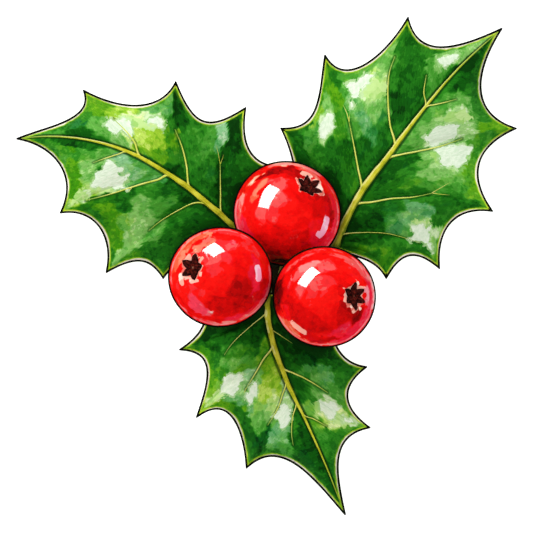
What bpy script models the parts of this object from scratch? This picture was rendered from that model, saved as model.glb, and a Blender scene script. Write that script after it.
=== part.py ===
"""A cut sprig of holly lying on a table: three spiny leaves, three ripe berries and a short twig.

Metres, +Z up. The sprig lies on z = 0 on the tips of its down-turned spines and on the twig, and
the origin is under the middle of its box. Each leaf is a fan of columns that run from its midrib
out to the spiny margin. The numbers below are in millimetres and are scaled once, in metres().
"""
import math
from collections import namedtuple

import bmesh
import bpy
from mathutils import Vector
from mathutils.geometry import interpolate_bezier

MM = 0.001
GAP = 0.3                 # clearance between pieces that touch on a living sprig

# ---- leaves ---------------------------------------------------------------------------------
CORE_HALF = 0.30          # half thickness of a blade beside its midrib
EDGE_HALF = 0.20          # half thickness at the margin
SAG = 1.7                 # how late a blade bends from the midrib's height to the margin's
PUFF = 0.75               # how far the blade swells up between two veins
BEND = 0.35               # how far out a side vein turns towards its spine
ROWS = 5                  # faces from midrib to margin
COLUMN_STEP = 1.7         # length of a face along the margin
PETIOLE_RADIUS = 0.72
RIB_RADII = (0.62, 0.50, 0.44, 0.38, 0.30, 0.15)
RIB_LENGTH = 0.92         # share of the blade that the raised midrib runs along

# A spine points along heading, in degrees from +X, and its flanks open by half_angle on each
# side. The scallop that arrives at it from the base side has handles of pull times its chord.
# joins is the share of the midrib where the spine's vein leaves, and lift the height of the
# margin's arch in that scallop. A half_angle of 90 is a plain point on a smooth margin.
Spine = namedtuple("Spine", "x y z heading half_angle pull joins lift")
Leaf = namedtuple("Leaf", "petiole midrib left_starts left right_starts right")

LEAVES = {
    "leaf_left": Leaf(
        petiole=((-1.25, 1.45, 1.75), (-1.70, 2.30, 2.40)),
        midrib=((-2.3, 3.4, 3.0), (-7.37, 7.85, 4.1), (-10.58, 10.3, 4.7), (-13.8, 12.35, 5.0),
                (-17.02, 13.9, 5.0), (-20.23, 14.9, 4.6), (-23.45, 15.45, 3.6),
                (-26.66, 15.6, 2.2), (-29.94, 15.34, 0.2)),
        left_starts=205,
        left=(Spine(-12.41, -1.38, 0.2, 269, 32, 0.35, 0.06, 0.3),
              Spine(-19.22, -0.67, 0.2, 233, 24, 0.50, 0.20, 1.2),
              Spine(-24.62, 6.44, 4.4, 216, 27, 0.48, 0.385, 0.3),
              Spine(-29.94, 15.34, 0.2, 186, 16, 0.46, 1.0, 0.2)),
        right_starts=55,
        right=(Spine(2.1, 11.9, 2.3, 20, 20, 0.38, 0.03, 0.0),
               Spine(-2.51, 18.98, 3.6, 57, 24, 0.50, 0.14, 0.2),
               Spine(-10.85, 22.04, 4.8, 88, 24, 0.63, 0.295, -0.6),
               Spine(-21.95, 21.12, 0.2, 131, 20, 0.40, 0.51, 0.6),
               Spine(-29.94, 15.34, 0.2, 186, 16, 0.39, 1.0, 0.8))),
    "leaf_right": Leaf(
        petiole=((3.10, 0.42, 1.75), (4.40, -0.05, 2.0), (6.10, 0.05, 2.4), (7.40, 0.85, 2.7)),
        midrib=((8.1, 2.2, 2.9), (9.26, 4.93, 3.5), (11.34, 8.87, 4.5), (14.84, 13.62, 5.3),
                (18.98, 19.1, 5.2), (23.11, 23.85, 3.6), (28.22, 28.54, 0.5)),
        left_starts=130,
        left=(Spine(3.9, 8.5, 2.6, 190, 90, 0.38, 0.03, 0.0),
              Spine(1.76, 16.51, 4.4, 147, 30, 0.38, 0.08, 0.0),
              Spine(7.04, 25.33, 0.2, 100, 19, 0.47, 0.236, 0.5),
              Spine(16.92, 29.74, 4.8, 81, 21, 0.46, 0.43, 0.4),
              Spine(28.22, 28.54, 0.5, 41, 16, 0.48, 1.0, 0.3)),
        right_starts=335,
        right=(Spine(14.33, -1.37, 3.6, 270, 28, 0.40, 0.012, 0.0),
               Spine(20.74, -0.19, 0.2, 297, 22, 0.56, 0.07, 0.4),
               Spine(26.98, 6.65, 4.7, 329, 23, 0.50, 0.18, 0.3),
               Spine(29.94, 16.57, 0.5, 3, 20, 0.51, 0.375, 0.4),
               Spine(28.22, 28.54, 0.5, 41, 16, 0.50, 1.0, 1.3))),
    "leaf_lower": Leaf(
        petiole=((0.24, -1.25, 1.75), (0.12, -2.10, 2.35)),
        midrib=((0.05, -3.3, 2.9), (0.36, -7.55, 3.9), (2.11, -13.0, 4.8), (4.75, -18.5, 4.6),
                (7.2, -24.0, 3.0), (9.42, -29.74, 0.2)),
        left_starts=10,
        left=(Spine(7.9, -8.3, 2.6, 15, 90, 0.38, 0.05, 0.0),
              Spine(11.98, -12.07, 0.2, 14, 22, 0.40, 0.15, 0.2),
              Spine(12.32, -19.26, 4.5, 347, 23, 0.56, 0.325, 0.3),
              Spine(9.42, -29.74, 0.2, 296.6, 14, 0.46, 1.0, 0.2)),
        right_starts=170,
        right=(Spine(-7.2, -6.0, 2.4, 165, 90, 0.38, 0.03, 0.0),
               Spine(-10.38, -9.98, 0.2, 196, 18, 0.38, 0.085, 0.2),
               Spine(-8.33, -17.99, 4.5, 234, 17, 0.55, 0.23, 0.3),
               Spine(-2.38, -24.16, 0.2, 249, 25, 0.57, 0.385, 0.4),
               Spine(9.42, -29.74, 0.2, 296.6, 14, 0.44, 1.0, 1.0))),
}

# ---- berries --------------------------------------------------------------------------------
Berry = namedtuple("Berry", "centre radius axis stalk points turn")
BERRIES = {                # the axis runs from the stalk to the calyx
    "top": Berry((2.46, 6.29, 10.0), 6.42, (0.44, 0.56, 0.70),
                 ((0.95, 1.15, 2.92), (0.30, 1.30, 3.9)), 5, 10),
    "left": Berry((-5.45, -1.24, 16.8), 6.12, (-0.58, 0.21, 0.785),
                  ((-0.75, 0.0, 2.90), (-0.55, -1.3, 5.6), (-0.35, -2.6, 8.6)), 5, 40),
    "right": Berry((6.83, -3.59, 16.95), 6.12, (0.63, 0.02, 0.775),
                   ((2.45, 1.30, 3.00), (1.90, -0.7, 5.4), (1.40, -2.9, 8.8)), 6, 0),
}
OBLATE = 0.975            # height of a berry along its axis over its width
DISH_RIM = 1.95
DISH_FLOOR_RADIUS = 1.70
DISH_DEPTH = 0.85
DIMPLE_RADIUS = 0.9
DIMPLE_DEPTH = 0.2
BERRY_STEPS = 28
STAR_RADIUS = 1.40
STAR_WAIST = 0.78
STAR_THICKNESS = 0.45
PEDICEL_RADIUS = 0.48

# ---- twig -----------------------------------------------------------------------------------
# x, y, height of the axis and radius, from the cut end to the tip of the end bud
TWIG = ((-9.5, -3.5, 1.19, 1.25), (-7.2, -2.7, 1.19, 1.22), (-5.0, -1.9, 1.20, 1.18),
        (-2.8, -0.9, 1.22, 1.15), (-1.2, -0.1, 1.28, 1.24), (0.4, 0.65, 1.36, 1.24),
        (1.7, 1.35, 1.48, 1.12), (2.8, 1.95, 1.58, 0.98), (3.6, 2.35, 1.68, 1.06),
        (4.5, 2.8, 1.85, 0.82), (5.2, 3.15, 2.0, 0.42), (5.7, 3.4, 2.1, 0.12))


def metres(point):
    return Vector(point[:3]) * MM


def bearing(degrees):
    angle = math.radians(degrees)
    return Vector((math.cos(angle), math.sin(angle)))


def smooth(value):
    return value * value * (3 - 2 * value)


class Path:
    """A smooth curve through its points, read by the share of its length."""

    def __init__(self, points):
        knots = [Vector(p) for p in points]
        slopes = []
        for i, knot in enumerate(knots):
            before, after = knots[max(i - 1, 0)], knots[min(i + 1, len(knots) - 1)]
            slopes.append((after - before).normalized())
        self.dense = [knots[0]]
        for a, b, out, back in zip(knots, knots[1:], slopes, slopes[1:]):
            third = (b - a).length / 3
            self.dense += interpolate_bezier(a, a + out * third, b - back * third, b, 24)[1:]
        self.along = [0.0]
        for a, b in zip(self.dense, self.dense[1:]):
            self.along.append(self.along[-1] + (b - a).length)

    def at(self, share):
        target = min(max(share, 0.0), 1.0) * self.along[-1]
        i = 1
        while i < len(self.along) - 1 and self.along[i] < target:
            i += 1
        a, b = self.along[i - 1], self.along[i]
        return self.dense[i - 1].lerp(self.dense[i], (target - a) / (b - a))


class Side:
    """One half of a leaf's margin, from the base of the blade to its tip."""

    def __init__(self, base, starts, spines, turn, back):
        first = Spine(base.x, base.y, base.z, back, 0, 0, 0.0, 0.0)
        self.nodes = (first,) + tuple(spines)
        self.starts = starts
        self.turn = turn

    def at(self, share):
        """Margin point and outward heading of the column that leaves the midrib at share."""
        i = 1
        while i < len(self.nodes) - 1 and self.nodes[i].joins < share - 1e-9:
            i += 1
        a, b = self.nodes[i - 1], self.nodes[i]
        step = min(max((share - a.joins) / (b.joins - a.joins), 0.0), 1.0)
        p0, p3 = Vector((a.x, a.y)), Vector((b.x, b.y))
        reach = b.pull * (p3 - p0).length
        leave = self.starts if i == 1 else a.heading + 180 - self.turn * a.half_angle
        arrive = b.heading + 180 + self.turn * b.half_angle
        p1 = p0 + bearing(leave) * reach
        p2 = p3 + bearing(arrive) * reach
        rest = 1 - step
        flat = (p0 * rest ** 3 + p1 * 3 * rest * rest * step
                + p2 * 3 * rest * step * step + p3 * step ** 3)
        arch = math.sin(math.pi * step)
        height = a.z + (b.z - a.z) * smooth(step) + b.lift * arch
        swing = (b.heading - a.heading + 180) % 360 - 180
        return Vector((flat.x, flat.y, height)), a.heading + swing * step, arch


class Blade:
    """The curved sheet of one leaf."""

    def __init__(self, leaf):
        self.rib = Path(leaf.midrib)
        base, ahead = self.rib.at(0), self.rib.at(0.05)
        back = math.degrees(math.atan2(base.y - ahead.y, base.x - ahead.x))
        self.sides = (Side(base, leaf.left_starts, leaf.left, -1, back),
                      Side(base, leaf.right_starts, leaf.right, 1, back))

    def shares(self):
        """Columns shared by both halves: one at each spine, and evenly spaced between them."""
        knots = sorted({node.joins for side in self.sides for node in side.nodes})
        shares = [0.0]
        for a, b in zip(knots, knots[1:]):
            longest = 0.0
            for side in self.sides:
                run = [side.at(a + (b - a) * k / 8)[0].xy for k in range(9)]
                longest = max(longest, sum((q - p).length for p, q in zip(run, run[1:])))
            count = max(1, round(longest / COLUMN_STEP))
            shares += [a + (b - a) * k / count for k in range(1, count + 1)]
        return shares

    def point(self, side, share, out):
        """Middle of the sheet at out, 0 on the midrib and 1 on the margin, and its half thickness."""
        rib = self.rib.at(share)
        edge, heading, arch = self.sides[side].at(share)
        reach = (edge.xy - rib.xy).length
        knee = edge.xy - bearing(heading) * BEND * reach
        rest = 1 - out
        flat = rib.xy * rest * rest + knee * 2 * rest * out + edge.xy * out * out
        swell = PUFF * arch * math.sin(math.pi * out) * min(1.0, reach / 8)
        height = rib.z + (edge.z - rib.z) * out ** SAG + swell
        core = (CORE_HALF - EDGE_HALF) * (1 - out * out) * min(1.0, share / 0.06, (1 - share) / 0.1)
        return Vector((flat.x, flat.y, height)), EDGE_HALF + core


def add_material(obj, name, colour, roughness, coat=0.0):
    material = bpy.data.materials.get(name) or bpy.data.materials.new(name)
    material.use_nodes = True
    shader = material.node_tree.nodes["Principled BSDF"]
    shader.inputs["Base Color"].default_value = (*colour, 1.0)
    shader.inputs["Roughness"].default_value = roughness
    shader.inputs["Metallic"].default_value = 0.0
    shader.inputs["Coat Weight"].default_value = coat
    obj.data.materials.clear()
    obj.data.materials.append(material)


def add_object(name, bm):
    bmesh.ops.recalc_face_normals(bm, faces=bm.faces)
    mesh = bpy.data.meshes.new(name)
    bm.to_mesh(mesh)
    bm.free()
    obj = bpy.data.objects.new(name, mesh)
    bpy.context.scene.collection.objects.link(obj)
    return obj


def add_tube(name, points, sides=2):
    """A round stem through points of x, y, z and radius, in millimetres, with closed ends."""
    curve = bpy.data.curves.new(name, "CURVE")
    curve.dimensions = "3D"
    curve.bevel_depth = MM
    curve.bevel_resolution = sides
    curve.use_fill_caps = True
    spline = curve.splines.new("POLY")
    spline.points.add(len(points) - 1)
    for knot, (x, y, z, radius) in zip(spline.points, points):
        knot.co = (x * MM, y * MM, z * MM, 1.0)
        knot.radius = radius
    obj = bpy.data.objects.new(name, curve)
    bpy.context.scene.collection.objects.link(obj)
    return obj


def as_mesh(obj):
    """Replaces a curve object by its mesh, with the caps welded on."""
    mesh = bpy.data.meshes.new_from_object(obj.evaluated_get(bpy.context.evaluated_depsgraph_get()))
    bm = bmesh.new()
    bm.from_mesh(mesh)
    bmesh.ops.remove_doubles(bm, verts=bm.verts, dist=0.001 * MM)
    bm.to_mesh(mesh)
    bm.free()
    name = obj.name
    bpy.data.objects.remove(obj, do_unlink=True)
    solid = bpy.data.objects.new(name, mesh)
    bpy.context.scene.collection.objects.link(solid)
    return solid


def stations(path, radii, count):
    """Evenly spaced points on a path, each with its radius between those given."""
    points = []
    for k in range(count + 1):
        share = k / count
        place = share * (len(radii) - 1)
        i = min(int(place), len(radii) - 2)
        radius = radii[i] + (radii[i + 1] - radii[i]) * (place - i)
        points.append((*path.at(share), radius))
    return points


def make_leaf(name, leaf):
    blade = Blade(leaf)
    shares = blade.shares()
    bm = bmesh.new()
    for side in (0, 1):
        sheets = []
        for face in (1, -1):
            sheet = []
            for share in shares:
                column = []
                for row in range(ROWS + 1):
                    middle, half = blade.point(side, share, row / ROWS)
                    column.append(bm.verts.new(metres(middle + Vector((0, 0, face * half)))))
                sheet.append(column)
            sheets.append(sheet)
            for a, b in zip(sheet, sheet[1:]):
                for row in range(ROWS):
                    bm.faces.new((a[row], a[row + 1], b[row + 1], b[row]))
        upper, lower = sheets
        for k in range(len(shares) - 1):
            bm.faces.new((upper[k][-1], upper[k + 1][-1], lower[k + 1][-1], lower[k][-1]))
    bmesh.ops.remove_doubles(bm, verts=bm.verts, dist=0.02 * MM)
    bmesh.ops.triangulate(bm, faces=[f for f in bm.faces if len(f.verts) > 3])
    obj = add_object(name, bm)

    base = Path(leaf.petiole + (leaf.midrib[0],))
    stem = stations(base, (PETIOLE_RADIUS, RIB_RADII[0]), 2 + 2 * len(leaf.petiole))
    spine = Path([blade.rib.at(RIB_LENGTH * k / 12) for k in range(13)])
    rib = as_mesh(add_tube(name + "_rib", stem + stations(spine, RIB_RADII, 14)[1:]))
    rib.hide_render = True
    rib.display_type = "WIRE"
    union = obj.modifiers.new("midrib", "BOOLEAN")
    union.operation = "UNION"
    union.solver = "EXACT"
    union.object = rib
    obj.data.shade_smooth()
    obj.data.set_sharp_from_angle(angle=math.radians(50))
    add_material(obj, "leaf green", (0.035, 0.19, 0.022), 0.3, 0.5)


def berry_profile(radius):
    """Radius and height of a berry's skin about its axis, from the dimple round to the dish."""
    profile = [(0.0, -radius * OBLATE + DIMPLE_DEPTH + 0.05)]
    low = math.asin(DIMPLE_RADIUS / radius) - math.pi / 2
    high = math.acos(DISH_RIM / radius)
    for k in range(15):
        angle = low + (high - low) * k / 14
        profile.append((radius * math.cos(angle), radius * OBLATE * math.sin(angle)))
    floor = radius * OBLATE - DISH_DEPTH
    profile += [(DISH_FLOOR_RADIUS, floor + 0.12), (DISH_FLOOR_RADIUS - 0.15, floor), (0.0, floor)]
    return profile


def make_berry(name, berry):
    axis = Vector(berry.axis).normalized()
    turn = axis.to_track_quat("Z", "Y")

    bm = bmesh.new()
    line = [bm.verts.new((r * MM, 0, z * MM)) for r, z in berry_profile(berry.radius)]
    edges = [bm.edges.new(pair) for pair in zip(line, line[1:])]
    bmesh.ops.spin(bm, geom=line + edges, axis=(0, 0, 1), cent=(0, 0, 0), dvec=(0, 0, 0),
                   angle=2 * math.pi, steps=BERRY_STEPS, use_duplicate=False)
    bmesh.ops.remove_doubles(bm, verts=bm.verts, dist=0.005 * MM)
    skin = add_object("berry_" + name, bm)
    skin.location = metres(berry.centre)
    skin.rotation_euler = turn.to_euler()
    skin.data.shade_smooth()
    skin.data.set_sharp_from_angle(angle=math.radians(40))
    add_material(skin, "berry red", (0.60, 0.008, 0.012), 0.18, 0.8)

    bm = bmesh.new()
    outline = []
    for k in range(2 * berry.points):
        reach = STAR_WAIST if k % 2 else STAR_RADIUS
        angle = math.radians(berry.turn) + math.pi * k / berry.points
        outline.append(bm.verts.new((reach * MM * math.cos(angle), reach * MM * math.sin(angle), 0)))
    star = bm.faces.new(outline)
    lifted = bmesh.ops.extrude_face_region(bm, geom=[star])
    top = [v for v in lifted["geom"] if isinstance(v, bmesh.types.BMVert)]
    bmesh.ops.translate(bm, verts=top, vec=(0, 0, STAR_THICKNESS * MM))
    calyx = add_object("calyx_" + name, bm)
    seat = berry.radius * OBLATE - DISH_DEPTH + GAP
    calyx.location = metres(Vector(berry.centre) + axis * seat)
    calyx.rotation_euler = turn.to_euler()
    add_material(calyx, "dry calyx", (0.035, 0.012, 0.008), 0.75)

    foot = Vector(berry.centre) - axis * (berry.radius * OBLATE - DIMPLE_DEPTH / 2 + GAP)
    route = Path(berry.stalk + tuple(tuple(foot - axis * back) for back in (1.6, 0.0)))
    count = round(route.along[-1] / 0.9)
    stalk = add_tube("pedicel_" + name, stations(route, (0.56, PEDICEL_RADIUS, PEDICEL_RADIUS,
                                                         PEDICEL_RADIUS, 0.56), count))
    add_material(stalk, "stalk green", (0.18, 0.24, 0.05), 0.55)


def make_twig():
    path = Path([(x, y, z) for x, y, z, _ in TWIG])
    twig = add_tube("twig", stations(path, [p[3] for p in TWIG], 30), sides=3)
    add_material(twig, "twig bark", (0.11, 0.13, 0.05), 0.6)


def main():
    for obj in list(bpy.data.objects):
        bpy.data.objects.remove(obj, do_unlink=True)
    make_twig()
    for name, leaf in LEAVES.items():
        make_leaf(name, leaf)
    for name, berry in BERRIES.items():
        make_berry(name, berry)


main()
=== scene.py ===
"""Looks of a cut holly sprig: three glossy spiny leaves, three ripe berries and a short twig.

The sprig lies on a pale table and is seen from straight above. Lengths are in millimetres, in
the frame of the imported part, and every piece is scaled to metres when its mesh is made.
"""
import math
from collections import namedtuple

import bpy
import numpy as np
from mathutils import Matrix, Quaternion, Vector, noise
from mathutils.bvhtree import BVHTree
from mathutils.geometry import interpolate_bezier


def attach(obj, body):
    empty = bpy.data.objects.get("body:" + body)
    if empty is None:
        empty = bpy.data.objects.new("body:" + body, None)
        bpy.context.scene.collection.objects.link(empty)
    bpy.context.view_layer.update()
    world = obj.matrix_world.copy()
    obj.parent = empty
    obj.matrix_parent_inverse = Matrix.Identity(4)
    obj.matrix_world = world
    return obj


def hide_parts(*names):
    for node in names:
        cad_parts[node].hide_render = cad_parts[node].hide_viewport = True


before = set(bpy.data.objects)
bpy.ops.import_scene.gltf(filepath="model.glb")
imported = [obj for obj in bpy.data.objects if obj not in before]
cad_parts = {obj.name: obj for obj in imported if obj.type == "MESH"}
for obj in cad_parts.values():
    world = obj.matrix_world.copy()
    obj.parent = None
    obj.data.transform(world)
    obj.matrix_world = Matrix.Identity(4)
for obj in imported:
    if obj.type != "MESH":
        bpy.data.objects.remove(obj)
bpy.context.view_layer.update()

MM = 0.001

# ---- the sprig's measurements ------------------------
# A spine points along heading, in degrees from +X, and its flanks open by half_angle on each
# side. The scallop that arrives at it from the base side has handles of pull times its chord.
# joins is the share of the midrib where the spine's vein leaves, and lift the height of the
# margin's arch in that scallop. A half_angle of 90 is a plain point on a smooth margin.
Spine = namedtuple("Spine", "x y z heading half_angle pull joins lift")
# A side vein leaves the midrib at a share of its length and runs through points seen from
# above. width is its width where it leaves, and forks are short branches near its end.
Vein = namedtuple("Vein", "leaves points width forks", defaults=((),))
# left and right are the margin's spines from the base to the tip, and left_starts and
# right_starts the directions in which the margin leaves the base.
Leaf = namedtuple("Leaf", "petiole midrib left_starts left right_starts right veins")

LEAVES = {
    "leaf_left": Leaf(
        petiole=((-1.25, 1.45, 1.75), (-1.70, 2.30, 2.40)),
        midrib=((-2.3, 3.4, 3.0), (-7.37, 7.85, 4.1), (-10.58, 10.3, 4.7), (-13.8, 12.35, 5.0),
                (-17.02, 13.9, 5.0), (-20.23, 14.9, 4.6), (-23.45, 15.45, 3.6),
                (-26.66, 15.6, 2.2), (-29.94, 15.34, 0.1)),
        left_starts=205,
        left=(Spine(-12.41, -1.38, 0.1, 269, 32, 0.35, 0.06, 0.3),
              Spine(-19.22, -0.67, 0.1, 233, 24, 0.50, 0.20, 1.2),
              Spine(-24.62, 6.44, 4.4, 216, 27, 0.48, 0.385, 0.3),
              Spine(-29.94, 15.34, 0.1, 186, 16, 0.46, 1.0, 0.2)),
        right_starts=55,
        right=(Spine(2.1, 11.9, 2.3, 20, 20, 0.38, 0.03, 0.0),
               Spine(-2.51, 18.98, 3.6, 57, 24, 0.50, 0.14, 0.2),
               Spine(-10.85, 22.04, 4.8, 88, 24, 0.63, 0.295, -0.6),
               Spine(-21.95, 21.12, 0.1, 131, 20, 0.40, 0.51, 0.6),
               Spine(-29.94, 15.34, 0.1, 186, 16, 0.39, 1.0, 0.8)),
        veins=(Vein(0.14, ((-5.5, 8.6), (-5.55, 12.5)), 0.24,
                    (((-5.55, 12.3), (-5.75, 13.4), (-6.0, 14.4)), ((-5.5, 12.3), (-5.1, 13.4)))),
               Vein(0.295, ((-9.55, 12.0), (-10.1, 14.3), (-10.95, 16.4)), 0.30),
               Vein(0.51, ((-15.8, 14.9), (-17.1, 16.5), (-18.4, 17.7)), 0.26),
               Vein(0.20, ((-8.6, 7.6), (-10.6, 6.7), (-12.6, 5.5), (-14.1, 4.3)), 0.22),
               Vein(0.385, ((-12.9, 10.4), (-14.9, 9.85), (-18.7, 8.65), (-21.6, 7.9)), 0.28,
                    (((-16.0, 9.55), (-16.5, 8.9)),)),
               Vein(0.565, ((-17.6, 13.45), (-19.2, 12.95), (-20.7, 12.4)), 0.20))),
    "leaf_right": Leaf(
        petiole=((3.10, 0.42, 1.75), (4.40, -0.05, 2.0), (6.10, 0.05, 2.4), (7.40, 0.85, 2.7)),
        midrib=((8.1, 2.2, 2.9), (9.26, 4.93, 3.5), (11.34, 8.87, 4.5), (14.84, 13.62, 5.3),
                (18.98, 19.1, 5.2), (23.11, 23.85, 3.6), (28.22, 28.54, 0.4)),
        left_starts=130,
        left=(Spine(3.9, 8.5, 2.6, 190, 90, 0.38, 0.03, 0.0),
              Spine(1.76, 16.51, 4.4, 147, 30, 0.38, 0.08, 0.0),
              Spine(7.04, 25.33, 0.1, 100, 19, 0.47, 0.236, 0.5),
              Spine(16.92, 29.74, 4.8, 81, 21, 0.46, 0.43, 0.4),
              Spine(28.22, 28.54, 0.4, 41, 16, 0.48, 1.0, 0.3)),
        right_starts=335,
        right=(Spine(14.33, -1.37, 3.6, 270, 28, 0.40, 0.012, 0.0),
               Spine(20.74, -0.19, 0.1, 297, 22, 0.56, 0.07, 0.4),
               Spine(26.98, 6.65, 4.7, 329, 23, 0.50, 0.18, 0.3),
               Spine(29.94, 16.57, 0.4, 3, 20, 0.51, 0.375, 0.4),
               Spine(28.22, 28.54, 0.4, 41, 16, 0.50, 1.0, 1.3)),
        veins=(Vein(0.236, ((10.95, 11.8), (10.5, 14.3), (9.85, 17.5)), 0.28,
                    (((9.9, 17.3), (9.6, 18.4), (9.15, 19.4)), ((9.9, 17.3), (9.95, 18.2)))),
               Vein(0.43, ((14.75, 17.0), (14.5, 20.9), (14.7, 23.2), (15.35, 25.1)), 0.26),
               Vein(0.605, ((18.8, 20.8), (19.1, 22.9)), 0.22),
               Vein(0.06, ((11.6, 4.05), (14.4, 3.95), (17.0, 3.3), (18.4, 2.8)), 0.14),
               Vein(0.18, ((12.6, 7.7), (14.9, 8.1), (17.6, 8.3), (19.9, 8.8)), 0.28,
                    (((19.8, 8.8), (20.8, 8.65), (21.9, 8.55)), ((19.8, 8.8), (21.0, 9.5), (22.0, 10.1)))),
               Vein(0.375, ((16.2, 13.4), (18.0, 13.75), (20.9, 14.4), (23.4, 15.3)), 0.28),
               Vein(0.60, ((20.2, 19.35), (21.3, 19.6), (22.7, 20.0)), 0.20))),
    "leaf_lower": Leaf(
        petiole=((0.24, -1.25, 1.75), (0.12, -2.10, 2.35)),
        midrib=((0.05, -3.3, 2.9), (0.36, -7.55, 3.9), (2.11, -13.0, 4.8), (4.75, -18.5, 4.6),
                (7.2, -24.0, 3.0), (9.42, -29.74, 0.1)),
        left_starts=10,
        left=(Spine(7.9, -8.3, 2.6, 15, 90, 0.38, 0.05, 0.0),
              Spine(11.98, -12.07, 0.1, 14, 22, 0.40, 0.15, 0.2),
              Spine(12.32, -19.26, 4.5, 347, 23, 0.56, 0.325, 0.3),
              Spine(9.42, -29.74, 0.1, 296.6, 14, 0.46, 1.0, 0.2)),
        right_starts=170,
        right=(Spine(-7.2, -6.0, 2.4, 165, 90, 0.38, 0.03, 0.0),
               Spine(-10.38, -9.98, 0.1, 196, 18, 0.38, 0.085, 0.2),
               Spine(-8.33, -17.99, 4.5, 234, 17, 0.55, 0.23, 0.3),
               Spine(-2.38, -24.16, 0.1, 249, 25, 0.57, 0.385, 0.4),
               Spine(9.42, -29.74, 0.1, 296.6, 14, 0.44, 1.0, 1.0)),
        veins=(Vein(0.085, ((-1.6, -6.9), (-3.4, -8.5), (-4.4, -9.6), (-5.05, -10.6)), 0.16),
               Vein(0.23, ((-0.35, -11.1), (-1.1, -12.4), (-2.5, -14.7)), 0.26,
                    (((-2.4, -14.5), (-2.75, -15.3)),)),
               Vein(0.385, ((1.9, -15.4), (1.35, -17.0), (0.15, -19.0)), 0.20),
               Vein(0.48, ((3.15, -17.9), (3.0, -19.9), (3.2, -21.4)), 0.18),
               Vein(0.15, ((1.6, -8.2), (3.1, -9.2)), 0.12),
               Vein(0.325, ((3.2, -12.75), (4.4, -13.3), (5.8, -14.1), (7.3, -15.1)), 0.24),
               Vein(0.54, ((5.6, -18.2), (7.2, -19.1)), 0.16))),
}

# radius is that of the skin, axis runs from the stalk to the calyx, stalk is a list of points from
# the twig on, lobes and turn are the calyx's, and wide and tall stretch the berry along X and Y
Berry = namedtuple("Berry", "centre radius axis stalk lobes turn wide tall")
BERRIES = {
    "top": Berry((2.46, 6.29, 10.0), 6.22, (0.44, 0.56, 0.70),
                 ((0.95, 1.15, 2.92), (0.30, 1.30, 3.9)), 6, 12, 1.012, 0.988),
    "left": Berry((-5.45, -1.24, 16.8), 5.92, (-0.58, 0.21, 0.785),
                  ((-0.75, 0.0, 2.90), (-0.55, -1.3, 5.6), (-0.35, -2.6, 8.6)), 5, 40, 1.026, 0.975),
    "right": Berry((6.83, -3.59, 16.95), 5.92, (0.63, 0.02, 0.775),
                   ((2.45, 1.30, 3.00), (1.90, -0.7, 5.4), (1.40, -2.9, 8.8)), 6, 0, 1.014, 0.985),
}
OBLATE = 0.975             # a berry's length along its axis, as a share of its width
SEAM = 0.20                # how far the seam stands out from the skin
STAR_RADIUS, STAR_WAIST = 1.66, 0.92
# x, y, height of the axis and radius, from the cut end to the tip of the end bud
TWIG = ((-9.5, -3.5, 1.19, 1.25), (-7.2, -2.7, 1.19, 1.22), (-5.0, -1.9, 1.20, 1.18),
        (-2.8, -0.9, 1.22, 1.15), (-1.2, -0.1, 1.28, 1.24), (0.4, 0.65, 1.36, 1.24),
        (1.7, 1.35, 1.48, 1.12), (2.8, 1.95, 1.58, 0.98), (3.6, 2.35, 1.68, 1.06),
        (4.5, 2.8, 1.85, 0.82), (5.2, 3.15, 2.0, 0.42), (5.7, 3.4, 2.1, 0.12))

SAG, PUFF, BEND = 1.7, 0.75, 0.35      # how a blade bends, swells and fans out, as in the part
CORE_HALF, EDGE_HALF = 0.27, 0.09      # half thickness beside the midrib and at the margin
COLUMN_STEP = 0.26                     # widest step between two columns of a blade, at its margin
ROWS = 54                              # steps from the midrib to the margin
RIM_RADIUS = 0.125
MARGIN_SINK = 0.13                     # how far in from the margin its nerve rests on the blade
# the ribs are painted lighter on this side and painted in shade on the far side
LIGHT_SIDE = np.array([-0.50, 0.66, 0.56])   # the side that the light comes from
# within GAP_RADIUS of GAP the twig is painted almost black, as painted shade of the berries
GAP = (0.8, -0.4)                      # the middle of the gap between the berries, from above
GAP_RADIUS = 3.2

# ---- where the paint lies ----------------------------
# Layers of paint, one over the other from dark to pale, as screen colours. Where a stroke's tone
# asks for it, the palest layers paint highlights and the darkest paint shade.
GREEN = ((9, 58, 9), (16, 84, 13), (28, 106, 19), (43, 126, 27), (65, 145, 43),
         (92, 163, 64), (120, 180, 88), (154, 201, 120), (194, 220, 168))
LIME = ((12, 60, 4), (20, 88, 6), (36, 112, 9), (58, 134, 12), (86, 154, 18),
        (114, 172, 30), (144, 190, 48), (178, 210, 88), (212, 229, 142))
MINT = ((5, 56, 17), (10, 82, 26), (22, 104, 38), (38, 122, 52), (66, 144, 74),
        (96, 164, 98), (128, 184, 128), (166, 206, 160), (204, 226, 194))
SCARLET = ((44, 6, 6), (84, 7, 7), (124, 9, 9), (162, 10, 10), (194, 12, 12), (218, 13, 12),
           (238, 15, 13), (248, 22, 17), (245, 46, 48), (242, 84, 82), (243, 136, 130), (250, 206, 196))
ROSE = ((46, 6, 12), (86, 7, 14), (126, 9, 18), (164, 11, 24), (196, 13, 30), (216, 16, 36),
        (232, 20, 46), (240, 32, 58), (241, 60, 82), (240, 96, 114), (242, 146, 160), (250, 208, 218))
ORANGE = ((48, 8, 4), (90, 10, 5), (130, 13, 6), (170, 18, 8), (202, 24, 10), (224, 30, 12),
          (240, 40, 18), (246, 60, 34), (244, 92, 62), (243, 128, 98), (246, 172, 142), (252, 216, 190))
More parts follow.
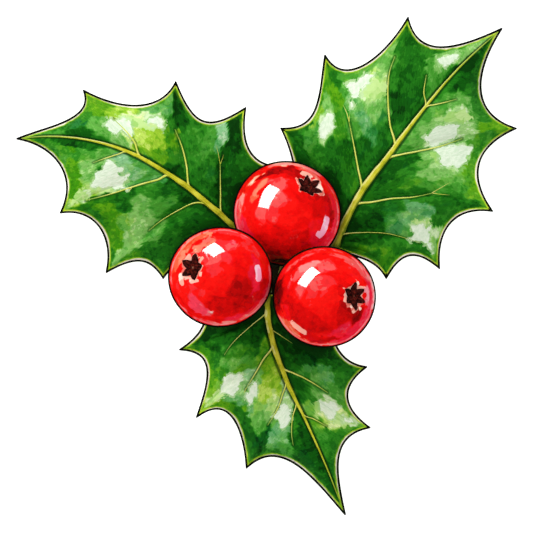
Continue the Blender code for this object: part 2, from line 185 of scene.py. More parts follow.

# Painted highlights on each blade, as the outlines of their patches seen from above: almost white
# painted glints and the pale washes of painted sheen round them
LEAF_PAINTED_SHEEN = {
    "leaf_left": {
        "glint": (
            ((-19.0, 17.6), (-18.1, 17.5), (-17.1, 17.8), (-16.4, 17.3), (-16.0, 16.5), (-16.1, 15.4),
             (-16.7, 16.0), (-17.4, 16.4), (-18.0, 15.9), (-18.8, 16.2), (-19.3, 16.9)),
            ((-14.1, 17.6), (-12.9, 17.9), (-12.3, 17.3), (-12.4, 16.4), (-13.0, 16.9), (-14.3, 17.2)),
            ((-19.1, 12.8), (-18.0, 12.3), (-17.7, 11.7), (-16.9, 11.8), (-17.7, 11.2), (-17.5, 10.7),
             (-16.5, 10.9), (-16.6, 10.3), (-17.3, 9.9), (-16.7, 9.3), (-18.0, 9.2), (-18.5, 9.7),
             (-19.4, 9.4), (-21.0, 9.6), (-20.5, 10.3), (-20.4, 11.0), (-19.6, 11.7)),
        ),
        "pale": (
            ((-18.2, 18.2), (-16.2, 18.0), (-14.5, 17.3), (-12.9, 17.0), (-13.0, 16.4), (-14.2, 16.4),
             (-15.9, 16.7), (-17.2, 17.7)),
            ((-22.4, 9.2), (-21.3, 8.7), (-21.2, 7.9), (-22.4, 7.8), (-23.8, 7.1), (-22.9, 8.3)),
            ((-20.5, 10.2), (-18.2, 9.4), (-17.2, 9.1), (-19.6, 8.8), (-21.3, 9.1)),
        ),
    },
    "leaf_right": {
        "glint": (
            ((9.5, 21.8), (11.0, 22.3), (12.0, 23.0), (12.9, 22.9), (12.1, 21.9), (11.2, 20.9),
             (11.0, 20.2), (10.4, 20.1), (10.2, 18.9), (10.1, 20.8)),
            ((7.3, 18.5), (7.9, 18.2), (8.2, 16.7), (7.3, 15.9), (6.6, 15.0), (6.2, 16.2), (6.7, 17.4)),
            ((20.4, 25.0), (21.5, 25.2), (23.2, 25.6), (23.0, 25.0), (21.4, 24.0), (20.7, 24.2)),
            ((18.9, 15.4), (19.7, 16.2), (20.6, 16.7), (21.5, 16.8), (23.1, 17.0), (22.8, 16.3),
             (22.7, 15.5), (21.9, 15.2), (21.3, 14.9), (19.9, 14.4), (19.2, 14.8)),
            ((20.1, 13.9), (21.4, 14.4), (23.2, 14.5), (24.7, 14.2), (24.1, 13.4), (23.8, 12.5),
             (22.9, 11.8), (22.2, 12.1), (21.0, 11.8), (20.7, 12.6), (20.7, 13.4)),
            ((17.4, 4.9), (18.4, 5.1), (19.1, 4.6), (19.6, 4.9), (19.5, 3.8), (19.5, 2.9), (20.0, 1.6),
             (19.3, 2.6), (18.6, 3.1), (17.1, 3.1), (17.7, 3.9)),
        ),
        "pale": (
            ((12.6, 22.5), (13.3, 22.8), (14.1, 22.2), (14.4, 21.4), (14.1, 20.4), (12.9, 19.8),
             (11.8, 20.3), (11.2, 20.8), (12.1, 21.9)),
            ((22.0, 18.5), (23.8, 18.8), (24.7, 17.7), (23.2, 17.0), (21.0, 17.4)),
            ((19.5, 13.6), (20.8, 14.1), (20.8, 13.0), (21.3, 11.9), (20.2, 12.4)),
            ((17.2, 5.6), (19.6, 5.6), (19.8, 4.4), (18.7, 4.4), (17.8, 5.0)),
        ),
    },
    "leaf_lower": {
        "glint": (
            ((-5.0, -13.2), (-4.2, -13.0), (-3.2, -12.8), (-2.9, -13.3), (-3.4, -14.6), (-4.0, -15.4),
             (-4.8, -15.2), (-5.6, -15.3), (-5.5, -14.4)),
            ((-1.9, -14.2), (-1.2, -13.8), (-1.2, -15.5), (-1.9, -16.6), (-2.4, -15.6)),
            ((1.7, -16.7), (2.2, -16.4), (2.8, -16.9), (2.9, -18.2), (2.4, -19.0), (1.7, -19.6),
             (1.4, -18.4), (0.9, -17.9)),
            ((6.4, -16.1), (7.3, -16.3), (8.2, -16.1), (8.7, -16.9), (8.2, -17.7), (7.7, -18.4),
             (7.1, -17.7), (6.6, -17.3)),
            ((9.2, -17.8), (10.7, -18.7), (9.1, -18.7)),
        ),
        "pale": (
            ((-5.6, -14.3), (-5.3, -15.2), (-4.3, -15.4), (-5.8, -15.9), (-7.5, -16.9), (-6.6, -15.7)),
            ((8.3, -17.2), (9.4, -17.7), (11.0, -18.9), (9.0, -19.1), (7.9, -18.7), (7.7, -18.0)),
            ((5.6, -16.4), (6.7, -15.8), (6.9, -17.4), (6.2, -17.2)),
        ),
    },
}

# How a blade's colour runs. A stroke is x, y, direction, half length, half width, tone (0 dark,
# 1 pale) and warmth (-1 mint, 1 lime). The strokes blend. The tone holds painted light and shade
# as well as the blade's own mottling: pale strokes round the painted glints and dark ones for
# painted shade.
LEAF_STROKES = {
    "leaf_left": (
        (-28.6, 15.7, 0, 1.6, 0.5, 0.48, 0.5), (-26, 16.1, 5, 1.8, 0.35, 0.5, 0.1),
        (-24.6, 16.6, 14, 1.6, 0.4, 0.28, 0), (-23, 17.1, 25, 1, 0.6, 0.3, -0.4),
        (-22.6, 16, 5, 1.3, 0.5, 0.16, 0), (-20.4, 15.5, -15, 1, 0.35, 0.25, 0),
        (-21.6, 19.6, 80, 1.3, 0.6, 0.46, 0.7), (-21.9, 18.2, 60, 0.8, 0.5, 0.36, 0.4),
        (-20.3, 17, 30, 0.8, 0.5, 0.56, 0), (-19.6, 16, -30, 1, 0.5, 0.55, 0),
        (-19.9, 18.7, -20, 1.3, 0.5, 0.48, 0.9), (-18.4, 18.2, -10, 1.2, 0.4, 0.68, 0.8),
        (-16.5, 18.7, 0, 1.6, 0.3, 0.68, 0.7), (-16.4, 17.9, -5, 1.5, 0.4, 0.9, 0.4),
        (-14.6, 17.5, -5, 1.4, 0.7, 0.9, 0.3), (-13, 17.3, -20, 0.8, 0.6, 0.86, 0.2),
        (-17.9, 15.2, -20, 1.2, 0.4, 0.62, 0), (-16.4, 15.3, -60, 0.7, 0.4, 0.84, 0.4),
        (-15, 15.2, -20, 1.2, 0.8, 0.76, 0.9), (-13.2, 16.2, -10, 1.5, 0.5, 0.65, 0.9),
        (-13, 14.7, -50, 1, 0.6, 0.66, 0.9), (-11.8, 15.2, -80, 1.3, 0.5, 0.42, 0.5),
        (-12.6, 13.4, -35, 1.2, 0.5, 0.46, 0.7), (-14.9, 14, -35, 0.9, 0.25, 0.5, 0.7),
        (-11.2, 13.2, -80, 1, 0.5, 0.36, 0.3), (-11, 11.9, -30, 0.8, 0.4, 0.14, 0),
        (-13.8, 18.8, 5, 1.6, 0.3, 0.56, -0.2), (-11.6, 19.4, 75, 1.2, 0.35, 0.54, -0.2),
        (-11.5, 17.2, -80, 0.9, 0.3, 0.3, 0), (-10.7, 19.3, -80, 1.8, 0.4, 0.05, 0),
        (-10, 17.3, -70, 1.3, 0.5, 0.14, 0), (-9.2, 15.8, -80, 1.5, 0.7, 0.34, 0),
        (-9, 13, -85, 1.5, 0.7, 0.36, 0), (-8.4, 10.8, -80, 1.2, 0.7, 0.26, 0),
        (-7.4, 16.6, -80, 0.9, 0.6, 0.34, 0), (-6.9, 14.6, 85, 1.6, 0.5, 0.46, 0),
        (-5.6, 16, -75, 1, 0.5, 0.74, -0.5), (-5.9, 14.4, 80, 0.8, 0.3, 0.5, -0.4),
        (-6.6, 12, 90, 1.5, 0.6, 0.3, 0), (-3.8, 15.6, 80, 2, 0.6, 0.04, 0),
        (-2.8, 17.6, 70, 1, 0.35, 0.16, 0.3), (-4.4, 12, 85, 2, 0.7, 0.14, 0),
        (-2, 12.2, -30, 1.5, 0.8, 0.24, 0.1), (-4.4, 8.2, -70, 2, 0.9, 0.07, 0),
        (-26.4, 15, -8, 1.5, 0.4, 0.34, 0.2), (-23.6, 14.9, -8, 1.7, 0.45, 0.14, 0),
        (-21.2, 14.5, -12, 1.2, 0.4, 0.2, -0.2), (-24, 13.7, -35, 1, 0.4, 0.46, 0.3),
        (-22.4, 13.1, 10, 1.2, 0.5, 0.46, 0.1), (-20, 13.6, 5, 1.4, 0.4, 0.52, 0),
        (-20.9, 12.5, 20, 1.2, 0.4, 0.64, 0.1), (-23.1, 10.6, -85, 2.4, 0.5, 0.4, 0.8),
        (-21.5, 11, -80, 1.4, 0.5, 0.68, 0.2), (-20.8, 9.4, -15, 1.2, 0.4, 0.76, 0.3),
        (-18.2, 9.4, 20, 1.3, 0.4, 0.86, -0.1), (-17.2, 12.3, -30, 1, 0.6, 0.7, -0.5),
        (-15.7, 11, 0, 0.9, 0.6, 0.62, -0.5), (-14.2, 11.8, -30, 1.5, 0.5, 0.46, -0.3),
        (-15.4, 9.9, 15, 1.5, 0.3, 0.5, -0.3), (-22.2, 8.2, 30, 0.9, 0.4, 0.88, 0),
        (-23.4, 7.4, 20, 0.9, 0.3, 0.7, 0.3), (-20, 8, 20, 2, 0.35, 0.28, 0.3),
        (-17, 8.4, 20, 1.4, 0.4, 0.2, 0.1), (-14.7, 8.9, 10, 1.3, 0.4, 0.36, 0.2),
        (-18.6, 6.8, -35, 1.8, 0.6, 0.42, 0.6), (-17.3, 7.1, -20, 0.9, 0.4, 0.24, 0),
        (-18.3, 4.4, -75, 1.9, 0.5, 0.38, 0.7), (-17.2, 5.5, -60, 1, 0.45, 0.58, 0.3),
        (-14.8, 6.9, -80, 1.6, 0.7, 0.63, 0), (-15.4, 4.6, 70, 1.6, 0.9, 0.72, 0.1),
        (-17, 2.2, 60, 1.6, 0.4, 0.68, 0.1), (-12.8, 7.4, 30, 1.4, 0.6, 0.48, 0),
        (-13.3, 4.3, 30, 1.4, 0.6, 0.54, 0), (-14.6, 2.3, 20, 1.2, 0.35, 0.32, 0.1),
        (-16.2, 1.3, 25, 1, 0.3, 0.36, 0.4), (-11.4, 9.2, 10, 1.5, 0.5, 0.22, 0),
        (-8.9, 8.2, -35, 2, 0.5, 0.12, 0), (-10.6, 5.4, 35, 1.8, 0.7, 0.26, 0),
        (-12.2, 2.4, 30, 1.3, 0.6, 0.24, 0), (-7.6, 5.6, 10, 2.6, 0.7, 0.13, 0),
    ),
    "leaf_right": (
        (3.2, 15.4, -50, 1.2, 0.5, 0.18, 0), (5.4, 15.3, 60, 1.4, 0.6, 0.47, -0.1),
        (4.2, 13.4, -60, 1.2, 0.6, 0.14, 0), (6.2, 13, -70, 1.4, 0.7, 0.3, 0),
        (7.2, 17, 75, 1.7, 0.6, 0.86, -0.1), (7.2, 19.4, 80, 1, 0.4, 0.62, 0),
        (6.2, 18, 65, 1.6, 0.22, 0.6, 0.6), (7.2, 22.5, 80, 1.4, 0.35, 0.42, 0.6),
        (7.4, 24.3, 85, 0.6, 0.25, 0.15, 0), (8, 22.4, -60, 1, 0.35, 0.22, 0.1),
        (8.2, 20.8, -75, 1.3, 0.4, 0.4, 0.7), (8.6, 17, -80, 2.6, 0.5, 0.42, 0.4),
        (9.3, 14, -80, 1.6, 0.5, 0.18, 0.3), (8, 13.4, -80, 1.6, 0.5, 0.2, 0.1),
        (9.2, 11.4, -75, 2, 0.6, 0.22, 0.2), (7.6, 10.2, -70, 1.8, 0.6, 0.06, 0),
        (10.2, 9.6, -70, 1.4, 0.4, 0.28, 0.3), (9.4, 7.2, -70, 1.2, 0.5, 0.1, 0),
        (9.6, 22.7, 15, 1.6, 0.35, 0.5, 0.1), (9.2, 21.3, -80, 0.8, 0.35, 0.5, 0),
        (13.2, 22, 75, 1.5, 0.6, 0.8, 0.4), (12.6, 20.4, -70, 1.2, 0.7, 0.8, 0.2),
        (12.4, 24.2, 35, 2.2, 0.4, 0.58, 0.3), (14.4, 25, 60, 1.4, 0.5, 0.62, 0.1),
        (15.3, 27, 65, 1.2, 0.3, 0.62, 0.2), (10.6, 19, -75, 1.2, 0.5, 0.58, -0.3),
        (13.1, 18.9, -80, 1, 1, 0.64, 0), (11.6, 17.2, -75, 1.2, 0.6, 0.56, -0.4),
        (12.6, 15.8, -80, 1.2, 0.5, 0.38, -0.4), (13.8, 17.6, 85, 1.2, 0.4, 0.38, -0.2),
        (10.6, 16.5, -80, 1.2, 0.4, 0.48, 0), (13.8, 15.2, 80, 1.6, 0.5, 0.2, -0.2),
        (12, 13.4, -75, 2, 0.8, 0.2, -0.2), (12.2, 10.6, 60, 1.2, 0.5, 0.18, -0.2),
        (16.6, 28, 80, 1.3, 0.5, 0.2, 0), (16.3, 25.4, -85, 1.8, 0.6, 0.25, 0),
        (17.4, 26, -60, 1.2, 0.5, 0.22, 0), (15.4, 22.6, -85, 1.5, 0.5, 0.3, 0),
        (15.2, 24.2, 80, 0.8, 0.4, 0.47, 0.1), (16.6, 21.4, -85, 2.4, 0.7, 0.17, -0.1),
        (18.2, 24, -80, 1.8, 0.6, 0.26, 0), (18, 21.4, -85, 1.6, 0.5, 0.2, 0),
        (15.8, 18.8, -85, 1.8, 0.6, 0.1, 0), (17.2, 18.4, 60, 1.2, 0.5, 0.22, 0),
        (15.9, 16.4, 50, 1.2, 0.5, 0.3, 0), (19.4, 25.6, 10, 1.4, 0.35, 0.3, 0),
        (19.7, 23.3, -80, 1.2, 0.4, 0.5, 0), (20, 21.6, 60, 1.2, 0.5, 0.44, 0),
        (20.4, 24.2, 40, 1.2, 0.5, 0.66, 0), (21.8, 24.8, 25, 1.2, 0.4, 0.84, 0),
        (21.6, 23.7, 45, 1.1, 0.25, 0.5, 0.1), (22.3, 22.7, 40, 0.8, 0.3, 0.22, 0),
        (23.5, 25.8, 15, 1.8, 0.3, 0.64, 0.1), (24.8, 26, 32, 2.2, 0.5, 0.72, 0.2),
        (27.2, 27.8, 45, 0.8, 0.3, 0.6, 0.3), (26, 26, 50, 1.4, 0.35, 0.14, 0),
        (24.2, 24.2, 50, 1.6, 0.6, 0.03, 0), (25.2, 23.2, -85, 1.6, 0.4, 0.22, 0),
        (22.6, 22.3, 50, 1.4, 0.4, 0.26, 0), (23.2, 21.8, 30, 1.4, 0.5, 0.12, -0.1),
        (24.6, 21, -60, 1.4, 0.5, 0.28, 0), (21.4, 21.2, 40, 1.2, 0.35, 0.34, 0),
        (21.4, 19.9, 30, 1.4, 0.35, 0.48, 0.1), (20, 18.6, 30, 1.6, 0.5, 0.52, 0.2),
        (22.6, 19.6, 20, 1.5, 0.4, 0.62, 0.1), (23.2, 18.2, 20, 1.6, 0.6, 0.85, 0),
        (24.5, 18.2, -60, 1.4, 0.35, 0.52, 0.1), (25.2, 19.5, -60, 1.6, 0.5, 0.36, 0.1),
        (21, 17.4, 25, 1.6, 0.5, 0.76, 0.2), (18.9, 16.4, 40, 1.2, 0.5, 0.62, 0.1),
        (21.4, 15.8, 20, 2.2, 0.7, 0.9, 0), (23.8, 16.6, 10, 1.4, 0.6, 0.78, 0),
        (23.6, 15.5, 15, 1.2, 0.35, 0.72, 0), (27, 16.8, 0, 1.8, 0.5, 0.46, 0.7),
        (26.3, 15.4, 50, 1.4, 0.45, 0.38, 0.2), (17.8, 14.5, 30, 1.4, 0.4, 0.54, 0),
        (17.6, 15.8, 50, 1.4, 0.5, 0.54, 0.1), (16.4, 13.9, 15, 1.5, 0.3, 0.46, 0.1),
        (22.6, 13.4, 0, 1.6, 0.7, 0.86, 0), (19.6, 13.4, 10, 1.2, 0.4, 0.7, 0),
        (20.6, 12.4, 20, 1, 0.4, 0.8, 0.1), (19, 12.4, 30, 1.2, 0.4, 0.58, 0.1),
        (21, 11.2, 10, 2.2, 0.6, 0.68, 0.1), (22.4, 10.4, 10, 1.6, 0.4, 0.56, 0.2),
        (24.6, 12.6, 80, 2.2, 0.45, 0.44, 0.4), (24.4, 10, -80, 1.8, 0.5, 0.46, 0.5),
        (25.6, 8.2, -50, 1.2, 0.35, 0.48, 0.5), (17, 12.9, 10, 1.6, 0.4, 0.2, 0),
        (17.4, 11.6, 20, 1.4, 0.4, 0.36, 0.1), (15, 11.6, 40, 1.8, 0.6, 0.18, -0.1),
        (17.6, 10.2, 15, 1.6, 0.4, 0.4, 0.4), (14.8, 9.6, 30, 1.6, 0.5, 0.28, 0.3),
        (19.4, 9.8, 10, 1.8, 0.4, 0.46, 0.2), (22.6, 9.1, 5, 1.6, 0.4, 0.44, 0.1),
        (23.6, 8, -10, 1.8, 0.4, 0.28, 0), (13, 8.5, 20, 1.6, 0.4, 0.26, 0.2),
        (17.2, 8.9, 10, 1.6, 0.3, 0.26, 0), (19, 8.1, 0, 1.2, 0.35, 0.36, 0),
        (21.6, 8, 0, 1.5, 0.5, 0.26, -0.1), (24.4, 7.2, -10, 1.6, 0.35, 0.2, 0),
        (22, 6.6, 40, 1.4, 0.4, 0.3, 0), (12.4, 7, 25, 1.4, 0.35, 0.2, 0.1),
        (15.4, 7.2, 5, 1.2, 0.5, 0.26, -0.2), (18.2, 6.8, -20, 1.6, 0.5, 0.54, -0.5),
        (17.2, 5.7, -10, 1.4, 0.5, 0.58, -0.3), (15, 5.4, -30, 1.2, 0.5, 0.46, -0.3),
        (18.6, 4.8, -10, 1.4, 0.7, 0.86, -0.1), (20.4, 5.6, 60, 1, 0.4, 0.28, 0),
        (19.8, 2.6, -60, 1.4, 0.35, 0.66, 0.2), (16.3, 4.3, 0, 1.2, 0.5, 0.52, -0.2),
        (13, 5.8, 0, 1.8, 0.6, 0.12, 0), (11, 5, 30, 1.2, 0.6, 0.06, 0), (12, 3.4, 0, 2, 0.5, 0.16, 0),
        (14.2, 2.7, -10, 1.4, 0.5, 0.32, 0.2), (16.3, 2.6, -15, 1.5, 0.4, 0.36, 0.2),
        (14.6, 1, -80, 1.5, 0.5, 0.34, 0.3), (11.2, 2.2, 0, 1.4, 0.3, 0.34, 0.4),
        (18, 2, 0, 1.5, 0.35, 0.26, 0.1), (20.4, 0.8, -75, 1, 0.3, 0.5, 0.5),
    ),
    "leaf_lower": (
        (-6.9, -7.8, 40, 1.6, 0.55, 0.02, 0), (-8, -9.3, 30, 1.2, 0.35, 0.14, 0),
        (-9, -9.8, 15, 0.8, 0.25, 0.42, 0.6), (-5, -7.2, 0, 2.2, 0.5, 0.06, 0),
        (-2.4, -6.4, 20, 1.8, 0.7, 0.05, 0), (-5.4, -8.8, 0, 1.6, 0.5, 0.24, 0),
        (-6.9, -9.4, -30, 1.2, 0.4, 0.18, 0.2), (-3, -8.8, 20, 1.4, 0.5, 0.24, 0),
        (-1, -8.2, 80, 1.6, 0.5, 0.14, 0), (-0.4, -10, 70, 1, 0.4, 0.42, 0.5),
        (-4.4, -9.9, 20, 1.6, 0.5, 0.42, 0.3), (-2.6, -10.2, 20, 1.4, 0.5, 0.38, 0.4),
        (-7.2, -10.8, -60, 1.4, 0.45, 0.34, 0.5), (-5.9, -10.8, 80, 0.9, 0.4, 0.28, 0.2),
        (-6.9, -12.8, -80, 1.6, 0.35, 0.44, 0.7), (-6.1, -11.7, -80, 0.8, 0.3, 0.3, 0.2),
        (-5.6, -12.6, -80, 1.2, 0.4, 0.42, 0.5), (-4.2, -11.6, 10, 1.6, 0.45, 0.52, 0.2),
        (-2, -11.6, 30, 1.4, 0.5, 0.47, 0.5), (-2.2, -13, 50, 1, 0.4, 0.74, -0.3),
        (-2.8, -14.6, 60, 1, 0.4, 0.7, -0.2), (-6, -14.5, 50, 1, 0.4, 0.64, 0.5),
        (-6.2, -15.7, 40, 1.3, 0.4, 0.9, 0.3), (-7.3, -16.7, 45, 0.8, 0.3, 0.66, 0.6),
        (-4.2, -15.9, 10, 1.3, 0.35, 0.6, -0.4), (-2.8, -16, 60, 1, 0.4, 0.56, -0.4),
        (-1.7, -15.1, 75, 0.9, 0.3, 0.86, 0), (-1, -13.3, 60, 1, 0.4, 0.63, 0.2),
        (0.4, -11.8, 70, 1.2, 0.5, 0.5, 0.8), (0.6, -13.4, 75, 1.2, 0.5, 0.66, 1),
        (-0.2, -15, 70, 1.4, 0.6, 0.78, 0.8), (0.6, -16.4, 75, 1.4, 0.5, 0.78, 0.4),
        (-0.9, -16.8, 60, 1, 0.5, 0.64, 0.4), (1.4, -14.3, -70, 1.2, 0.4, 0.68, 1),
        (-4.8, -16.6, -15, 1.8, 0.4, 0.4, 0.7), (-3, -17.7, -50, 1.6, 0.45, 0.24, 0.2),
        (-2.1, -17.4, 75, 0.9, 0.3, 0.56, -0.3), (-1, -18.2, 75, 1.4, 0.5, 0.58, 0.1),
        (0, -17.8, 70, 1, 0.4, 0.62, 0.2), (-0.7, -19.4, 70, 0.9, 0.45, 0.52, 0),
        (-2.2, -19.6, -70, 1.6, 0.4, 0.2, 0), (-0.8, -21, 70, 1.4, 0.6, 0.14, -0.2),
        (-1.9, -22.6, 70, 1, 0.3, 0.26, 0), (2.3, -15.4, -70, 1.2, 0.4, 0.82, 0),
        (2.2, -17.6, -85, 1.3, 0.4, 0.86, 0), (1, -18.6, 75, 0.8, 0.3, 0.56, 0.3),
        (1.2, -20, 70, 1.4, 0.5, 0.6, -0.4), (2.3, -20, 80, 1.2, 0.4, 0.66, -0.3),
        (1.6, -21.4, 20, 0.9, 0.3, 0.5, -0.3), (2.4, -22, 80, 0.7, 0.5, 0.46, -0.2),
        (0.8, -22.3, 0, 1.2, 0.25, 0.3, 0), (3.1, -19, -80, 1.6, 0.3, 0.34, 0.2),
        (4.2, -18.4, -60, 1.4, 0.35, 0.26, 0.1), (3.6, -21.2, -75, 1.4, 0.45, 0.2, 0),
        (5, -20.4, -70, 1.8, 0.5, 0.1, 0), (4.6, -22.8, -50, 1.8, 0.6, 0.16, -0.2),
        (6.4, -23.2, -65, 2, 0.5, 0.1, 0), (6.4, -25, -45, 1.8, 0.4, 0.24, 0),
        (8.2, -26.8, -60, 1.8, 0.4, 0.16, 0), (8.6, -28.2, -70, 1, 0.3, 0.2, 0.2),
        (1.5, -8.4, -30, 1.4, 0.6, 0.04, 0), (1.8, -10.6, -60, 1.4, 0.5, 0.12, 0),
        (4.2, -9.8, 0, 2.4, 0.5, 0.05, 0), (4, -11.2, 0, 1.8, 0.5, 0.12, -0.2),
        (7.2, -10.4, 0, 1.6, 0.5, 0.08, 0), (7.8, -11.6, -20, 1.6, 0.4, 0.22, 0),
        (3.1, -12, -20, 1, 0.35, 0.18, -0.1), (9.8, -12.2, 5, 1.6, 0.35, 0.26, 0.2),
        (6, -12.3, 10, 1.4, 0.4, 0.42, -0.3), (7, -13.1, -30, 1.2, 0.5, 0.55, -0.3),
        (4.6, -13.2, -30, 1.2, 0.35, 0.42, -0.2), (6.6, -14.2, -30, 1.4, 0.45, 0.5, -0.2),
        (9, -13.6, -50, 1.4, 0.5, 0.36, 0.1), (3.6, -14, -40, 1.2, 0.5, 0.16, -0.1),
        (5, -15.1, -40, 1.2, 0.4, 0.28, -0.1), (4.2, -15.8, -60, 1, 0.35, 0.2, 0),
        (4.9, -16.7, -40, 1.5, 0.4, 0.6, 0.3), (5.9, -15.5, -30, 1.2, 0.4, 0.62, 0),
        (8.4, -15.1, -40, 1.4, 0.5, 0.5, 0.1), (9.4, -16.6, -50, 1.4, 0.35, 0.5, 0.3),
        (7.4, -16.8, -50, 1.2, 0.7, 0.88, 0), (8.9, -17.6, -40, 1.2, 0.35, 0.82, 0.4),
        (6.6, -17.8, -40, 1.2, 0.4, 0.8, 0.4), (8, -18.8, 0, 1.4, 0.4, 0.8, 0.4),
        (9.9, -18.5, -15, 1.1, 0.35, 0.92, 0.1), (5.6, -18.2, -30, 1.2, 0.4, 0.48, 0.3),
        (11.2, -19, -15, 0.8, 0.25, 0.55, 0.4), (9.4, -19.4, 5, 1.6, 0.3, 0.46, 0.4),
        (6.6, -19.9, -30, 1.6, 0.4, 0.44, 0.2), (8.2, -20.3, -30, 1.2, 0.4, 0.34, 0.2),
        (6.8, -21.4, -60, 1.6, 0.5, 0.36, 0.2), (8, -22, -80, 1.8, 0.4, 0.28, 0.1),
        (7.8, -24, -80, 1.8, 0.35, 0.24, 0), (8.6, -26, -80, 1.4, 0.2, 0.34, 0.1),
    ),
}
